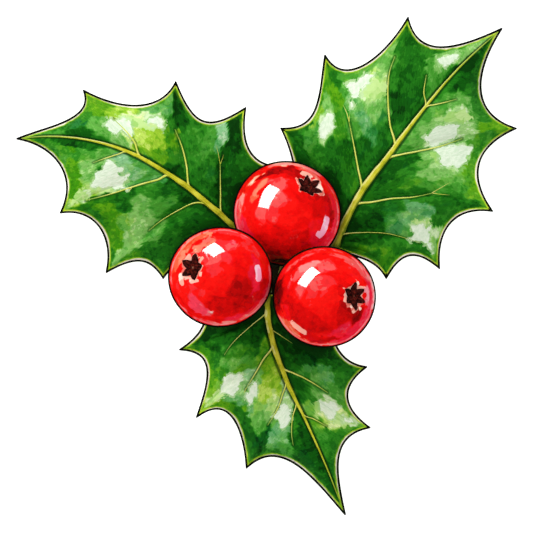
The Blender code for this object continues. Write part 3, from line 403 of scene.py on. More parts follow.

# The same for a berry seen from above, in radii from its middle: bearing, distance, half length
# round the berry, half width, tone and warmth (-1 rose, 1 orange). The tone holds painted light
# and shade as well as the berry's own mottling: pale strokes for painted highlights and a painted
# lit rim, dark ones for painted shade where the berries meet and where they turn under.
BERRY_STROKES = {
    "top": (
        (92, 0.97, 0.5, 0.03, 0.84, 0.7), (125, 0.96, 0.4, 0.04, 0.46, 0.2),
        (100, 0.865, 0.4, 0.06, 0.27, 0), (60, 0.9, 0.26, 0.04, 0.75, 0.3), (84, 0.79, 0.23, 0.07, 0.32, 0),
        (72, 0.66, 0.1, 0.06, 0.33, 0), (100, 0.75, 0.25, 0.05, 0.52, 0), (128, 0.9, 0.36, 0.022, 0.85, 1),
        (150, 0.8, 0.3, 0.06, 0.6, 0.1), (137, 0.745, 0.28, 0.05, 0.77, 0.8),
        (156, 0.72, 0.14, 0.05, 0.72, 0.8), (174, 0.9, 0.2, 0.035, 0.8, 0.2),
        (240, 0.9, 0.15, 0.05, 0.42, 0), (192, 0.93, 0.3, 0.05, 0.7, -0.5),
        (206, 0.84, 0.26, 0.08, 0.58, -0.8), (180, 0.72, 0.3, 0.08, 0.56, 0),
        (186, 0.5, 0.18, 0.08, 0.76, -0.1), (176, 0.28, 0.16, 0.1, 0.71, -0.1),
        (114, 0.26, 0.18, 0.12, 0.75, 0), (98, 0.58, 0.12, 0.12, 0.75, -0.1),
        (122, 0.42, 0.1, 0.07, 0.82, 0), (330, 0.38, 0.16, 0.08, 0.56, 0),
        (108, 0.68, 0.14, 0.04, 0.72, -0.1), (84, 0.45, 0.1, 0.2, 0.54, 0), (72, 0.55, 0.15, 0.15, 0.52, 0),
        (45, 0.42, 0.3, 0.12, 0.5, 0), (22, 0.56, 0.3, 0.08, 0.42, 0), (10, 0.7, 0.28, 0.09, 0.44, -0.3),
        (28, 0.7, 0.2, 0.07, 0.3, -0.1), (4, 0.845, 0.24, 0.035, 0.34, -0.3),
        (6, 0.91, 0.3, 0.04, 0.56, -0.6), (30, 0.93, 0.4, 0.035, 0.62, -0.3),
        (62, 0.965, 0.25, 0.03, 0.76, 0.3), (318, 0.74, 0.12, 0.08, 0.5, -0.8),
        (336, 0.58, 0.16, 0.1, 0.58, -0.4), (350, 0.93, 0.3, 0.04, 0.63, -0.7),
        (326, 0.93, 0.14, 0.05, 0.62, -0.6), (304, 0.86, 0.16, 0.06, 0.5, -0.5),
        (0, 0.15, 0.5, 0.16, 0.56, 0), (300, 0.32, 0.2, 0.1, 0.5, 0), (270, 0.38, 0.3, 0.07, 0.43, 0),
        (238, 0.42, 0.25, 0.1, 0.45, 0), (272, 0.52, 0.25, 0.07, 0.33, 0), (300, 0.54, 0.2, 0.08, 0.39, 0),
        (262, 0.64, 0.25, 0.07, 0.34, 0), (243, 0.68, 0.2, 0.08, 0.33, 0), (228, 0.6, 0.16, 0.1, 0.42, 0),
        (212, 0.58, 0.2, 0.1, 0.5, -0.1), (225, 0.8, 0.2, 0.08, 0.42, -0.1),
        (275, 0.76, 0.2, 0.08, 0.33, 0), (257, 0.84, 0.14, 0.08, 0.2, 0), (264, 0.95, 0.2, 0.06, 0.1, -0.2),
        (290, 0.76, 0.2, 0.08, 0.42, 0), (300, 0.7, 0.12, 0.06, 0.42, -0.3),
    ),
    "left": (
        (78, 0.92, 0.35, 0.035, 0.68, -0.2), (75, 0.855, 0.3, 0.03, 0.55, 0),
        (112, 0.905, 0.2, 0.035, 0.72, 0.8), (138, 0.95, 0.36, 0.016, 0.76, 1),
        (140, 0.92, 0.36, 0.02, 0.6, 0.8), (142, 0.875, 0.3, 0.025, 0.68, 0.9),
        (150, 0.85, 0.16, 0.03, 0.74, 0.8), (118, 0.73, 0.20, 0.05, 0.74, 0.6),
        (104, 0.77, 0.12, 0.05, 0.76, 0.5), (84, 0.79, 0.14, 0.04, 0.56, 0),
        (62, 0.78, 0.12, 0.05, 0.56, 0), (86, 0.7, 0.12, 0.08, 0.66, -0.2),
        (68, 0.68, 0.15, 0.14, 0.7, -0.4), (50, 0.6, 0.25, 0.14, 0.57, -0.1),
        (44, 0.84, 0.28, 0.05, 0.63, -0.1), (38, 0.87, 0.16, 0.03, 0.74, -0.1),
        (15, 0.9, 0.25, 0.05, 0.56, 0), (75, 0.4, 0.14, 0.1, 0.73, -0.2),
        (106, 0.36, 0.15, 0.1, 0.78, -0.1), (126, 0.48, 0.1, 0.12, 0.68, -0.1),
        (0, 0, 0.5, 0.18, 0.57, -0.1), (60, 0.25, 0.2, 0.1, 0.58, -0.1), (22, 0.46, 0.25, 0.14, 0.53, 0),
        (352, 0.42, 0.2, 0.12, 0.36, 0), (112, 0.2, 0.2, 0.1, 0.66, -0.3), (322, 0.5, 0.25, 0.14, 0.36, 0),
        (300, 0.58, 0.2, 0.12, 0.4, 0), (336, 0.6, 0.16, 0.08, 0.34, 0), (8, 0.62, 0.14, 0.06, 0.56, -1),
        (345, 0.7, 0.18, 0.08, 0.59, -1), (22, 0.78, 0.16, 0.06, 0.58, -0.7),
        (320, 0.8, 0.3, 0.08, 0.44, -0.2), (336, 0.86, 0.3, 0.04, 0.42, -0.2),
        (332, 0.915, 0.3, 0.025, 0.52, -0.5), (345, 0.955, 0.4, 0.025, 0.73, -0.6),
        (302, 0.95, 0.35, 0.025, 0.8, -0.2), (270, 0.96, 0.25, 0.02, 0.82, 0.2),
        (242, 0.96, 0.3, 0.02, 0.74, 0), (294, 0.89, 0.3, 0.05, 0.6, -0.6),
        (262, 0.58, 0.22, 0.12, 0.41, 0), (238, 0.53, 0.12, 0.07, 0.56, 0), (272, 0.76, 0.2, 0.06, 0.44, 0),
        (252, 0.64, 0.1, 0.05, 0.4, 0), (233, 0.7, 0.28, 0.08, 0.69, -0.7),
        (240, 0.79, 0.2, 0.045, 0.71, -0.6), (256, 0.75, 0.07, 0.035, 0.9, -0.3),
        (210, 0.55, 0.22, 0.1, 0.62, -0.2), (200, 0.76, 0.2, 0.1, 0.6, 0), (218, 0.91, 0.3, 0.04, 0.5, 0),
        (188, 0.93, 0.25, 0.05, 0.58, 0.2), (166, 0.93, 0.2, 0.03, 0.66, 0.8),
        (205, 0.32, 0.2, 0.1, 0.57, 0), (262, 0.87, 0.2, 0.04, 0.48, 0), (150, 0.6, 0.16, 0.1, 0.6, 0),
    ),
    "right": (
        (92, 0.95, 0.3, 0.04, 0.6, 0), (126, 0.9, 0.26, 0.025, 0.74, -0.2),
        (128, 0.97, 0.3, 0.025, 0.5, -0.1), (100, 0.83, 0.25, 0.05, 0.52, 0),
        (118, 0.72, 0.18, 0.07, 0.84, -0.2), (122, 0.84, 0.3, 0.03, 0.46, 0),
        (136, 0.71, 0.16, 0.06, 0.79, -0.2), (150, 0.78, 0.16, 0.05, 0.5, 0),
        (2, 0.85, 0.14, 0.035, 0.84, -0.5), (84, 0.62, 0.15, 0.11, 0.75, -0.2),
        (120, 0.32, 0.2, 0.1, 0.73, -0.1), (95, 0.24, 0.12, 0.1, 0.7, -0.1),
        (72, 0.36, 0.12, 0.1, 0.68, -0.1), (168, 0.49, 0.13, 0.09, 0.74, -0.2),
        (182, 0.57, 0.12, 0.06, 0.58, 0), (160, 0.3, 0.14, 0.1, 0.68, -0.1), (0, 0, 0.4, 0.14, 0.6, -0.1),
        (0, 0.2, 0.2, 0.1, 0.56, 0), (60, 0.72, 0.25, 0.1, 0.57, 0), (58, 0.5, 0.22, 0.12, 0.56, 0),
        (42, 0.76, 0.18, 0.08, 0.6, -0.3), (40, 0.6, 0.15, 0.1, 0.56, 0),
        (62, 0.87, 0.3, 0.035, 0.79, -0.1), (40, 0.88, 0.2, 0.04, 0.75, -0.3),
        (34, 0.95, 0.25, 0.03, 0.81, -0.2), (8, 0.93, 0.3, 0.04, 0.62, -0.8),
        (0, 0.985, 0.4, 0.015, 0.92, -0.4), (345, 0.93, 0.25, 0.04, 0.66, -0.8),
        (328, 0.88, 0.25, 0.05, 0.64, -0.7), (312, 0.9, 0.18, 0.05, 0.62, -0.9),
        (297, 0.9, 0.1, 0.03, 0.46, -0.5), (290, 0.93, 0.25, 0.04, 0.62, -0.7),
        (315, 0.96, 0.3, 0.02, 0.75, -0.6), (270, 0.955, 0.25, 0.02, 0.78, 0),
        (240, 0.955, 0.3, 0.025, 0.72, 0.5), (214, 0.96, 0.25, 0.025, 0.7, 0.9),
        (203, 0.92, 0.15, 0.04, 0.66, 0.3), (198, 0.92, 0.14, 0.05, 0.32, 0),
        (176, 0.91, 0.28, 0.10, 0.16, 0), (152, 0.96, 0.25, 0.03, 0.54, -0.3),
        (154, 0.84, 0.22, 0.06, 0.52, 0), (180, 0.76, 0.2, 0.08, 0.41, 0.1), (194, 0.64, 0.2, 0.1, 0.42, 0),
        (200, 0.81, 0.16, 0.06, 0.56, -0.3), (214, 0.73, 0.2, 0.06, 0.42, 0.2),
        (226, 0.885, 0.22, 0.04, 0.64, 0.8), (250, 0.87, 0.3, 0.06, 0.42, -0.3),
        (238, 0.64, 0.24, 0.1, 0.4, -0.2), (222, 0.5, 0.2, 0.1, 0.43, 0), (270, 0.62, 0.3, 0.1, 0.38, -0.2),
        (286, 0.8, 0.22, 0.05, 0.62, -0.5), (302, 0.71, 0.2, 0.07, 0.64, -0.8),
        (270, 0.76, 0.14, 0.06, 0.56, -0.3), (290, 0.58, 0.2, 0.1, 0.49, 0),
        (272, 0.86, 0.2, 0.04, 0.36, 0), (315, 0.58, 0.18, 0.1, 0.45, 0), (336, 0.42, 0.2, 0.1, 0.38, 0),
        (326, 0.74, 0.16, 0.07, 0.28, 0), (342, 0.58, 0.12, 0.07, 0.27, 0),
        (330, 0.58, 0.12, 0.08, 0.22, 0), (10, 0.38, 0.14, 0.08, 0.4, 0), (26, 0.5, 0.14, 0.08, 0.46, 0),
        (180, 0.36, 0.2, 0.1, 0.58, 0), (235, 0.28, 0.2, 0.1, 0.58, 0), (300, 0.32, 0.2, 0.1, 0.55, 0),
    ),
}

# Painted highlights as dabs with a clear edge, each as bearing, distance, half length and half
# width: lilac ones for a second painted reflection, cream ones round the calyx and on the rim.
BERRY_DABS = {
    "top": {
        "lilac": ((340, 0.76, 0.21, 0.055), (326, 0.73, 0.06, 0.06)),
        "cream": ((40, 0.80, 0.10, 0.05), (64, 0.85, 0.12, 0.04)),
    },
    "left": {
        "lilac": ((6, 0.745, 0.17, 0.055),),
        "cream": ((184, 0.77, 0.12, 0.045), (151, 0.76, 0.12, 0.035), (138, 0.53, 0.09, 0.03),
                  (189, 0.52, 0.04, 0.09), (171, 0.40, 0.05, 0.03)),
    },
    "right": {
        "lilac": (),
        "cream": ((231, 0.815, 0.20, 0.045), (23, 0.71, 0.04, 0.035), (9, 0.455, 0.045, 0.022),
                  (20, 0.56, 0.03, 0.06), (340, 0.58, 0.035, 0.03), (341, 0.75, 0.035, 0.025)),
    },
}


# ---- small helpers -----------------------------------
def smooth(x):
    x = np.clip(x, 0.0, 1.0)
    return x * x * (3 - 2 * x)


def bearing(degrees):
    angle = np.radians(degrees)
    return np.stack([np.cos(angle), np.sin(angle)], axis=-1)


def colour(red, green, blue):
    """A screen colour, 0 to 255, as the shader's linear values."""
    def linear(c):
        c /= 255
        return c / 12.92 if c <= 0.04045 else ((c + 0.055) / 1.055) ** 2.4
    return (linear(red), linear(green), linear(blue), 1.0)


def ripple(points, scale, seed):
    """Smooth noise between about -1 and 1 at each point."""
    shift = Vector((seed * 7.3, seed * 3.1, seed * 5.7))
    return np.array([noise.noise(Vector(p) * scale + shift) for p in points])


SCATTER = np.array([[127.1, 269.5, 113.5], [311.7, 183.3, 271.9]])     # turns a cell into chance


def dabbed(points, size, seed):
    """For each point, the place where its dab of paint was picked up and a random value. Dabs
    are ragged patches about size across."""
    broad = [ripple(points, 0.8 / size, seed + k) for k in (0, 1)]
    narrow = [ripple(points, 2.2 / size, seed + k) for k in (2, 3)]
    bent = points[:, :2] + size * 0.45 * np.column_stack(broad)
    bent += size * 0.22 * np.column_stack(narrow)
    closest, place, chance = np.full(len(points), 1e9), bent.copy(), np.zeros(len(points))
    for across in (-1, 0, 1):
        for along in (-1, 0, 1):
            cell = np.floor(bent / size) + (across, along)
            toss = np.sin(cell @ SCATTER + seed) * 43758.5
            toss -= np.floor(toss)
            middle = (cell + toss[:, :2]) * size
            gap = ((bent - middle) ** 2).sum(1)
            nearer = gap < closest
            closest[nearer], place[nearer], chance[nearer] = gap[nearer], middle[nearer], toss[nearer, 2]
    return place, chance - 0.5


def nearest(points, line):
    """Distance from each point to the nearest of a line's points, seen from above."""
    best = np.full(len(points), 1e9)
    for start in range(0, len(line), 200):
        part = line[start:start + 200, :2]
        gap = points[:, None, :2] - part
        best = np.minimum(best, np.sqrt((gap ** 2).sum(-1)).min(1))
    return best


class Path:
    """A smooth curve through its points, read by the share of its length."""

    def __init__(self, points):
        knots = [Vector((*p, 0.0)[:3]) for p in points]
        slopes = []
        for i in range(len(knots)):
            before, after = knots[max(i - 1, 0)], knots[min(i + 1, len(knots) - 1)]
            slopes.append((after - before).normalized())
        dense = [knots[0]]
        for a, b, out, back in zip(knots, knots[1:], slopes, slopes[1:]):
            third = (b - a).length / 3
            dense += interpolate_bezier(a, a + out * third, b - back * third, b, 24)[1:]
        self.dense = np.array([tuple(p) for p in dense])
        self.along = np.concatenate([[0], np.cumsum(np.linalg.norm(np.diff(self.dense, axis=0), axis=1))])
        self.length = self.along[-1]

    def at(self, share):
        target = np.clip(share, 0, 1) * self.length
        return np.stack([np.interp(target, self.along, self.dense[:, i]) for i in range(3)], axis=-1)


class Shape:
    """Points, faces and named surface values of one piece, gathered before its mesh is made."""

    def __init__(self):
        self.points, self.faces, self.values, self.count = [], [], {}, 0

    def add(self, points, faces, **values):
        points = np.asarray(points, dtype=float)
        self.points.append(points)
        self.faces += [tuple(i + self.count for i in face) for face in faces]
        for name, value in values.items():
            value = np.broadcast_to(np.asarray(value, dtype=float), (len(points),) + np.shape(value)[1:])
            self.values.setdefault(name, []).append(value)
        self.count += len(points)

    def piece(self, name, node, finish):
        """Makes the piece's mesh and tells the frame where it belongs."""
        mesh = bpy.data.meshes.new(name)
        mesh.from_pydata((np.concatenate(self.points) * MM).tolist(), [], self.faces)
        for key, parts in self.values.items():
            value = np.concatenate(parts)
            kind, field = ("FLOAT_VECTOR", "vector") if value.ndim == 2 else ("FLOAT", "value")
            mesh.attributes.new(key, kind, "POINT").data.foreach_set(field, value.ravel())
        mesh.update()
        mesh.shade_smooth()
        mesh.set_sharp_from_angle(angle=math.radians(60))
        obj = bpy.data.objects.new(name, mesh)
        bpy.context.scene.collection.objects.link(obj)
        mesh.materials.append(finish.material)
        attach(obj, "root")
        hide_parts(node)


def tube_faces(rings, around, first=0):
    """Faces of a tube of rings, each of around points, from the point first on."""
    faces = []
    for i in range(rings - 1):
        for k in range(around):
            a, b = first + i * around + k, first + i * around + (k + 1) % around
            faces.append((a, a + around, b + around, b))
    return faces


def cap_faces(middle, ring, around):
    """Faces from a middle point to the ring that starts at the point ring."""
    return [(middle, ring + k, ring + (k + 1) % around) for k in range(around)]


def flipped(faces):
    return [face[::-1] for face in faces]


class Stem:
    """A closed round stem along points. flat squashes it from above, and wrinkle(share, angle)
    scales its radius. lit is 1 where the stem faces the light and -1 on its far side."""

    def __init__(self, points, radii, sides=12, flat=1.0, wrinkle=None):
        points, radii = np.asarray(points), np.asarray(radii)
        count = len(points)
        forward = np.gradient(points, axis=0)
        forward /= np.linalg.norm(forward, axis=1, keepdims=True)
        up = np.array([0.0, 0.0, 1.0]) if abs(forward[0][2]) < 0.9 else np.array([0.0, 1.0, 0.0])
        shares = np.concatenate([[0], np.cumsum(np.linalg.norm(np.diff(points, axis=0), axis=1))])
        shares /= shares[-1]
        angles = np.arange(sides) * 2 * np.pi / sides
        rings, lights = [], []
        for i in range(count):
            across = np.cross(forward[i], up)
            across /= np.linalg.norm(across)
            up = np.cross(across, forward[i])
            reach = radii[i] * (wrinkle(shares[i], angles) if wrinkle else np.ones(sides))
            rings.append(points[i] + np.outer(np.cos(angles) * reach, across)
                         + np.outer(np.sin(angles) * reach * flat, up))
            lights.append(np.cos(angles) * (across @ LIGHT_SIDE) + np.sin(angles) * (up @ LIGHT_SIDE))
        first, last = count * sides, count * sides + 1
        self.points = np.concatenate(rings + [points[:1], points[-1:]])
        self.faces = (tube_faces(count, sides) + cap_faces(first, 0, sides)
                      + flipped(cap_faces(last, first - sides, sides)))
        self.share = np.concatenate([np.repeat(shares, sides), [0.0, 1.0]])
        self.lit = np.concatenate(lights + [[0.0, 0.0]])
        self.turn = np.concatenate([np.tile(angles, count), [0.0, 0.0]])

    def grain(self, length, shift=0.0):
        """Places along and round the stem, which its fibres follow."""
        return np.column_stack([self.share * length, np.cos(self.turn) + shift, np.sin(self.turn)])


# ---- finishes ----------------------------------------
class Value:
    """A number that varies over a surface, written as plain arithmetic."""

    def __init__(self, finish, socket):
        self.finish, self.socket = finish, socket

    def math(self, operation, *numbers):
        return self.finish.node("Math", {"operation": operation}, dict(enumerate(numbers)))

    def __add__(self, other):
        return self.math("ADD", self, other)

    def __sub__(self, other):
        return self.math("SUBTRACT", self, other)

    def __rsub__(self, other):
        return self.math("SUBTRACT", other, self)

    def __mul__(self, other):
        return self.math("MULTIPLY", self, other)

    def __neg__(self):
        return self.math("MULTIPLY", self, -1.0)

    def __abs__(self):
        return self.math("ABSOLUTE", self)

    __radd__ = __add__
    __rmul__ = __mul__

    def at_least(self, floor):
        return self.math("MAXIMUM", self, floor)

    def step(self, low, high):
        """0 below low, 1 above high, and a smooth ramp between them."""
        return self.finish.node("MapRange", {"interpolation_type": "SMOOTHSTEP"},
                                {"Value": self, "From Min": low, "From Max": high})


class Finish:
    """One procedural material and the nodes that make it."""

    def __init__(self, name):
        self.material = bpy.data.materials.new(name)
        self.material.use_nodes = True
        self.tree = self.material.node_tree
        self.tree.nodes.clear()

    def node(self, kind, settings=None, inputs=None, output=0):
        """Adds a node with its settings, such as a ramp's stops, and its sockets' values."""
        node = self.tree.nodes.new("ShaderNode" + kind)
        for key, value in (settings or {}).items():
            if key == "stops":
                ramp = node.color_ramp
                while len(ramp.elements) < len(value):
                    ramp.elements.new(1.0)
                for element, (place, shade) in zip(ramp.elements, value):
                    element.position, element.color = place, shade
            else:
                setattr(node, key, value)
        for key, value in (inputs or {}).items():
            if isinstance(value, Value):
                self.tree.links.new(value.socket, node.inputs[key])
            else:
                node.inputs[key].default_value = value
        return Value(self, node.outputs[output]) if node.outputs else None

    def surface(self, name, output=2):
        """A value stored on the mesh: output 1 reads it as a vector and 2 as a number."""
        return self.node("Attribute", {"attribute_name": name}, output=output)

    def mix(self, factor, a, b):
        """Colour a where factor is 0 and colour b where it is 1."""
        return self.node("Mix", {"data_type": "RGBA"}, {0: factor, 6: a, 7: b}, output=2)

    def ramp(self, factor, *stops):
        return self.node("ValToRGB", {"stops": stops}, {"Fac": factor})

    def layered(self, tone, shades):
        """Flat layers of paint, one over the other, from dark to pale as tone goes from 0 to 1."""
        stops = []
        for i, shade in enumerate(shades):
            for place, strength in ((0.02, 0.98), (0.98, 1.02)):
                stops.append(((i + place) / len(shades), colour(*(c * strength for c in shade))))
        return self.ramp(tone, *stops)

    def grained(self, shade, strength):
        """The shade made lighter or darker by a share."""
        return self.node("VectorMath", {"operation": "SCALE"}, {0: shade, "Scale": strength + 1})

    def scaled(self, vector, x, y, z):
        return self.node("VectorMath", {"operation": "MULTIPLY"}, {0: vector, 1: (x, y, z)})

    def millimetres(self):
        place = self.node("TexCoord", output="Object")
        return self.scaled(place, 1000, 1000, 1000)

    def cloud(self, vector, scale, detail=3.0, roughness=0.55, distortion=0.0):
        """Soft noise, about 0.5 on average."""
        return self.node("TexNoise", {"noise_dimensions": "3D"},
                         {"Vector": vector, "Scale": scale, "Detail": detail,
                          "Roughness": roughness, "Distortion": distortion})

    def cells(self, vector, scale, feature="DISTANCE_TO_EDGE"):
        return self.node("TexVoronoi", {"feature": feature}, {"Vector": vector, "Scale": scale})

    def dabs(self, vector, scale):
        """Crisp brush dabs, each of one random value between 0 and 1."""
        return self.node("TexVoronoi", {"feature": "F1"}, {"Vector": vector, "Scale": scale}, output=1)

    def warped(self, vector, scale, reach):
        """The vector, pushed about by noise so that straight edges turn ragged."""
        push = self.node("TexNoise", {}, {"Vector": vector, "Scale": scale, "Detail": 3.0,
                                          "Roughness": 0.6}, output=1)
        push = self.node("VectorMath", {"operation": "SUBTRACT"}, {0: push, 1: (0.5, 0.5, 0.5)})
        return self.node("VectorMath", {"operation": "MULTIPLY_ADD"},
                         {0: push, 1: (reach, reach, reach), 2: vector})

    def done(self, base, roughness, shine, height=None, relief=0.0, **others):
        """The closing surface. shine is its specular level, and relief millimetres raise height."""
        inputs = {"Base Color": base, "Roughness": roughness, "Specular IOR Level": shine, **others}
        if height is not None:
            inputs["Normal"] = self.node("Bump", {}, {"Strength": 1.0, "Distance": relief * MM,
                                                      "Height": height})
        shader = self.node("BsdfPrincipled", {}, inputs)
        self.node("OutputMaterial", {}, {"Surface": shader})
        return self


def margin_lines(leaf, green, fresh, run, torn):
    """Adds what runs along the margin: a touch of fresh green, a thin lime line and a cream one,
    widest between the spines."""
    margin, arch = leaf.surface("margin"), leaf.surface("arch")
    wander = leaf.cloud(leaf.scaled(run, 0.5, 0.2, 5), 1.0, 2) - 0.5
    green = leaf.mix((1 - (margin + wander * 0.5).step(0.25, 0.60)) * 0.5, green, fresh)
    cream = arch * (wander * 0.4 + 0.15) + 0.11
    lime = leaf.mix(torn.step(0.40, 0.60), colour(144, 196, 26), colour(200, 224, 52))
    line = (margin - cream + arch * 0.04 - 0.16).step(-0.03, 0.03)
    green = leaf.mix((1 - line) * (0.95 - arch * 0.35), green, lime)
    pale = leaf.mix(torn.step(0.38, 0.55), colour(206, 220, 120), colour(240, 240, 200))
    return leaf.mix(1 - (margin - cream).step(-0.03, 0.03), green,
                    leaf.mix(arch.step(0.3, 0.75), pale, colour(250, 242, 220)))


def leaf_finish():
    """Glossy green blade in layered washes, with a pale line inside its margin, painted highlights
    (glints with pale washes round them) at listed places, painted shade under and beside the
    berries and a matt yellow-green underside."""
    leaf = Finish("leaf blade")
    run, here = leaf.surface("run", 1), leaf.millimetres()
    rib, vein, under = (leaf.surface(name) for name in ("rib", "vein", "under"))
    broad = leaf.dabs(leaf.warped(here, 0.7, 1.3), 0.9)
    small = leaf.dabs(leaf.warped(here, 1.5, 0.8), 2.0)
    torn = leaf.cloud(here, 1.3, 5, 0.62, 0.3)
    ragged = leaf.cloud(here, 1.6, 2, 0.5, 0.4)
    blot = leaf.cloud(here, 0.30, 4, 0.55, 0.6)
    streak = leaf.cloud(leaf.scaled(run, 1.6, 0.8, 9), 1.0, 2, 0.5, 0.5)
    fine = leaf.cloud(leaf.scaled(run, 3.4, 1.5, 9), 1.0, 3, 0.7)

    def wash(name, tear, soft, grown=0.0):
        edge = leaf.surface(name) + (torn - 0.5) * tear + (small - 0.5) * (tear * 0.5)
        return (edge + grown).step(-soft, soft)

    def two(a, b, by=broad * 0.5 + streak * 0.5):
        return leaf.mix(by.step(0.40, 0.58), colour(*a), colour(*b))

    # the tone picks the layer of paint, so it paints light and shade as well as the blade's own mottling
    tone = (leaf.surface("tone") * 1.06 + 0.005 + (ragged - 0.5) * 0.22 + (broad - 0.5) * 0.10
            + (small - 0.5) * 0.09 + (fine - 0.5) * 0.12 + (streak - 0.5) * 0.10 + (blot - 0.5) * 0.05)
    warm = leaf.surface("warmth") + (broad - 0.5) * 0.3 + (blot - 0.5) * 0.9
    green = leaf.mix(warm.step(0.10, 0.70), leaf.layered(tone, GREEN), leaf.layered(tone, LIME))
    green = leaf.mix((-warm).step(0.10, 0.55), green, leaf.layered(tone, MINT))
    green = leaf.grained(green, (fine.step(0.34, 0.66) - 0.5) * 0.26)
    green = leaf.mix((1 - vein.step(0.03, 0.22)) * 0.6, green, colour(10, 62, 10))
    # painted sheen: a pale wash, then the fringe and the almost white cores of the painted glints
    green = leaf.mix(wash("pale", 0.8, 0.05) * 0.92, green, two((150, 200, 100), (186, 219, 138)))
    green = leaf.mix(wash("glint", 1.1, 0.03, 0.22) * 0.7, green, two((150, 196, 122), (186, 216, 162)))
    green = leaf.mix(wash("glint", 0.7, 0.02) * 0.97, green,
                     leaf.mix(fine.step(0.35, 0.65), colour(205, 225, 195), colour(227, 238, 217)))
    green = leaf.mix((1 - rib.step(0.08, 0.26)) * 0.8, green, colour(8, 44, 8))
    # painted shade under and beside the berries
    green = leaf.mix((1 - leaf.surface("shelter").step(0.0, 1.3)) * 0.6, green, colour(5, 34, 6))

    green = margin_lines(leaf, green, two((40, 124, 18), (92, 164, 30)), run, torn)

    below = leaf.mix(blot.step(0.4, 0.6), colour(122, 158, 84), colour(146, 178, 100))
    below = leaf.mix((1 - vein.step(0.0, 0.30)) * 0.6, below, colour(176, 196, 120))
    base = leaf.mix(under, green, below)

    net = leaf.cells(leaf.scaled(run, 1.2, 0.9, 9), 1.0).step(0.0, 0.16)
    pores = leaf.cloud(here, 5.0, 2, 0.5)
    height = net * 0.6 + pores * 0.3 + blot * 0.8
    rough = 0.46 + (torn - 0.5) * 0.12 + under * 0.25
    return leaf.done(base, rough, 0.03, height, 0.03)


def rib_finish():
    """Yellow-green midrib and veins that fade into the blade at their ends, with a painted highlight
    on the side that faces the light and painted shade on the far side and under the berries.
    """
    rib = Finish("leaf rib")
    share, stalk, here = rib.surface("share"), rib.surface("stalk"), rib.millimetres()
    fibre = rib.cloud(rib.scaled(rib.surface("grain", 1), 0.5, 6, 6), 1.0, 4, 0.6)
    blot = rib.cloud(here, 0.9, 3, 0.55)
    tone = fibre * 0.55 + blot * 0.45
    body = rib.ramp(tone, (0.38, colour(148, 158, 20)), (0.47, colour(196, 196, 38)),
                    (0.60, colour(216, 214, 74)))
    small = rib.ramp(tone, (0.38, colour(192, 210, 60)), (0.60, colour(236, 236, 124)))
    body = rib.mix(rib.surface("side_vein"), body, small)
    lit = rib.surface("lit") + (blot - 0.5) * 0.25
    # painted highlight on the side that faces the light, painted shade on the far side
    body = rib.mix(lit.step(0.72, 0.84) * 0.75, body, colour(234, 232, 150))
    body = rib.mix((1 - lit.step(-0.12, 0.30)) * 0.85, body, colour(88, 122, 14))
    body = rib.mix(stalk.step(0.0, 1.0) * 0.8, body,
                   rib.mix(fibre.step(0.4, 0.6), colour(78, 100, 12), colour(124, 136, 26)))
    # painted shade under the berries
    body = rib.mix((1 - rib.surface("shelter").step(0.1, 1.1)) * 0.65, body, colour(36, 54, 10))
    fade = (share + (blot - 0.5) * 0.3).step(0.62, 1.0)
    body = rib.mix(fade * 0.7, body, colour(96, 158, 46))
    return rib.done(body, 0.5 + (fibre - 0.5) * 0.2, 0.08, fibre, 0.03)


def rim_finish(name):
    """Almost black and hard, for the nerve round a blade, its thorns and a berry's seam."""
    rim = Finish(name)
    here = rim.millimetres()
    blot = rim.cloud(here, 1.1, 3)
    dark = rim.mix(blot.step(0.45, 0.62), colour(8, 11, 8), colour(14, 22, 10))
    dark = rim.mix(rim.surface("thorn") * 0.6, dark, colour(20, 14, 9))
    return rim.done(dark, 0.6 + (blot - 0.5) * 0.2, 0.03, blot, 0.01)


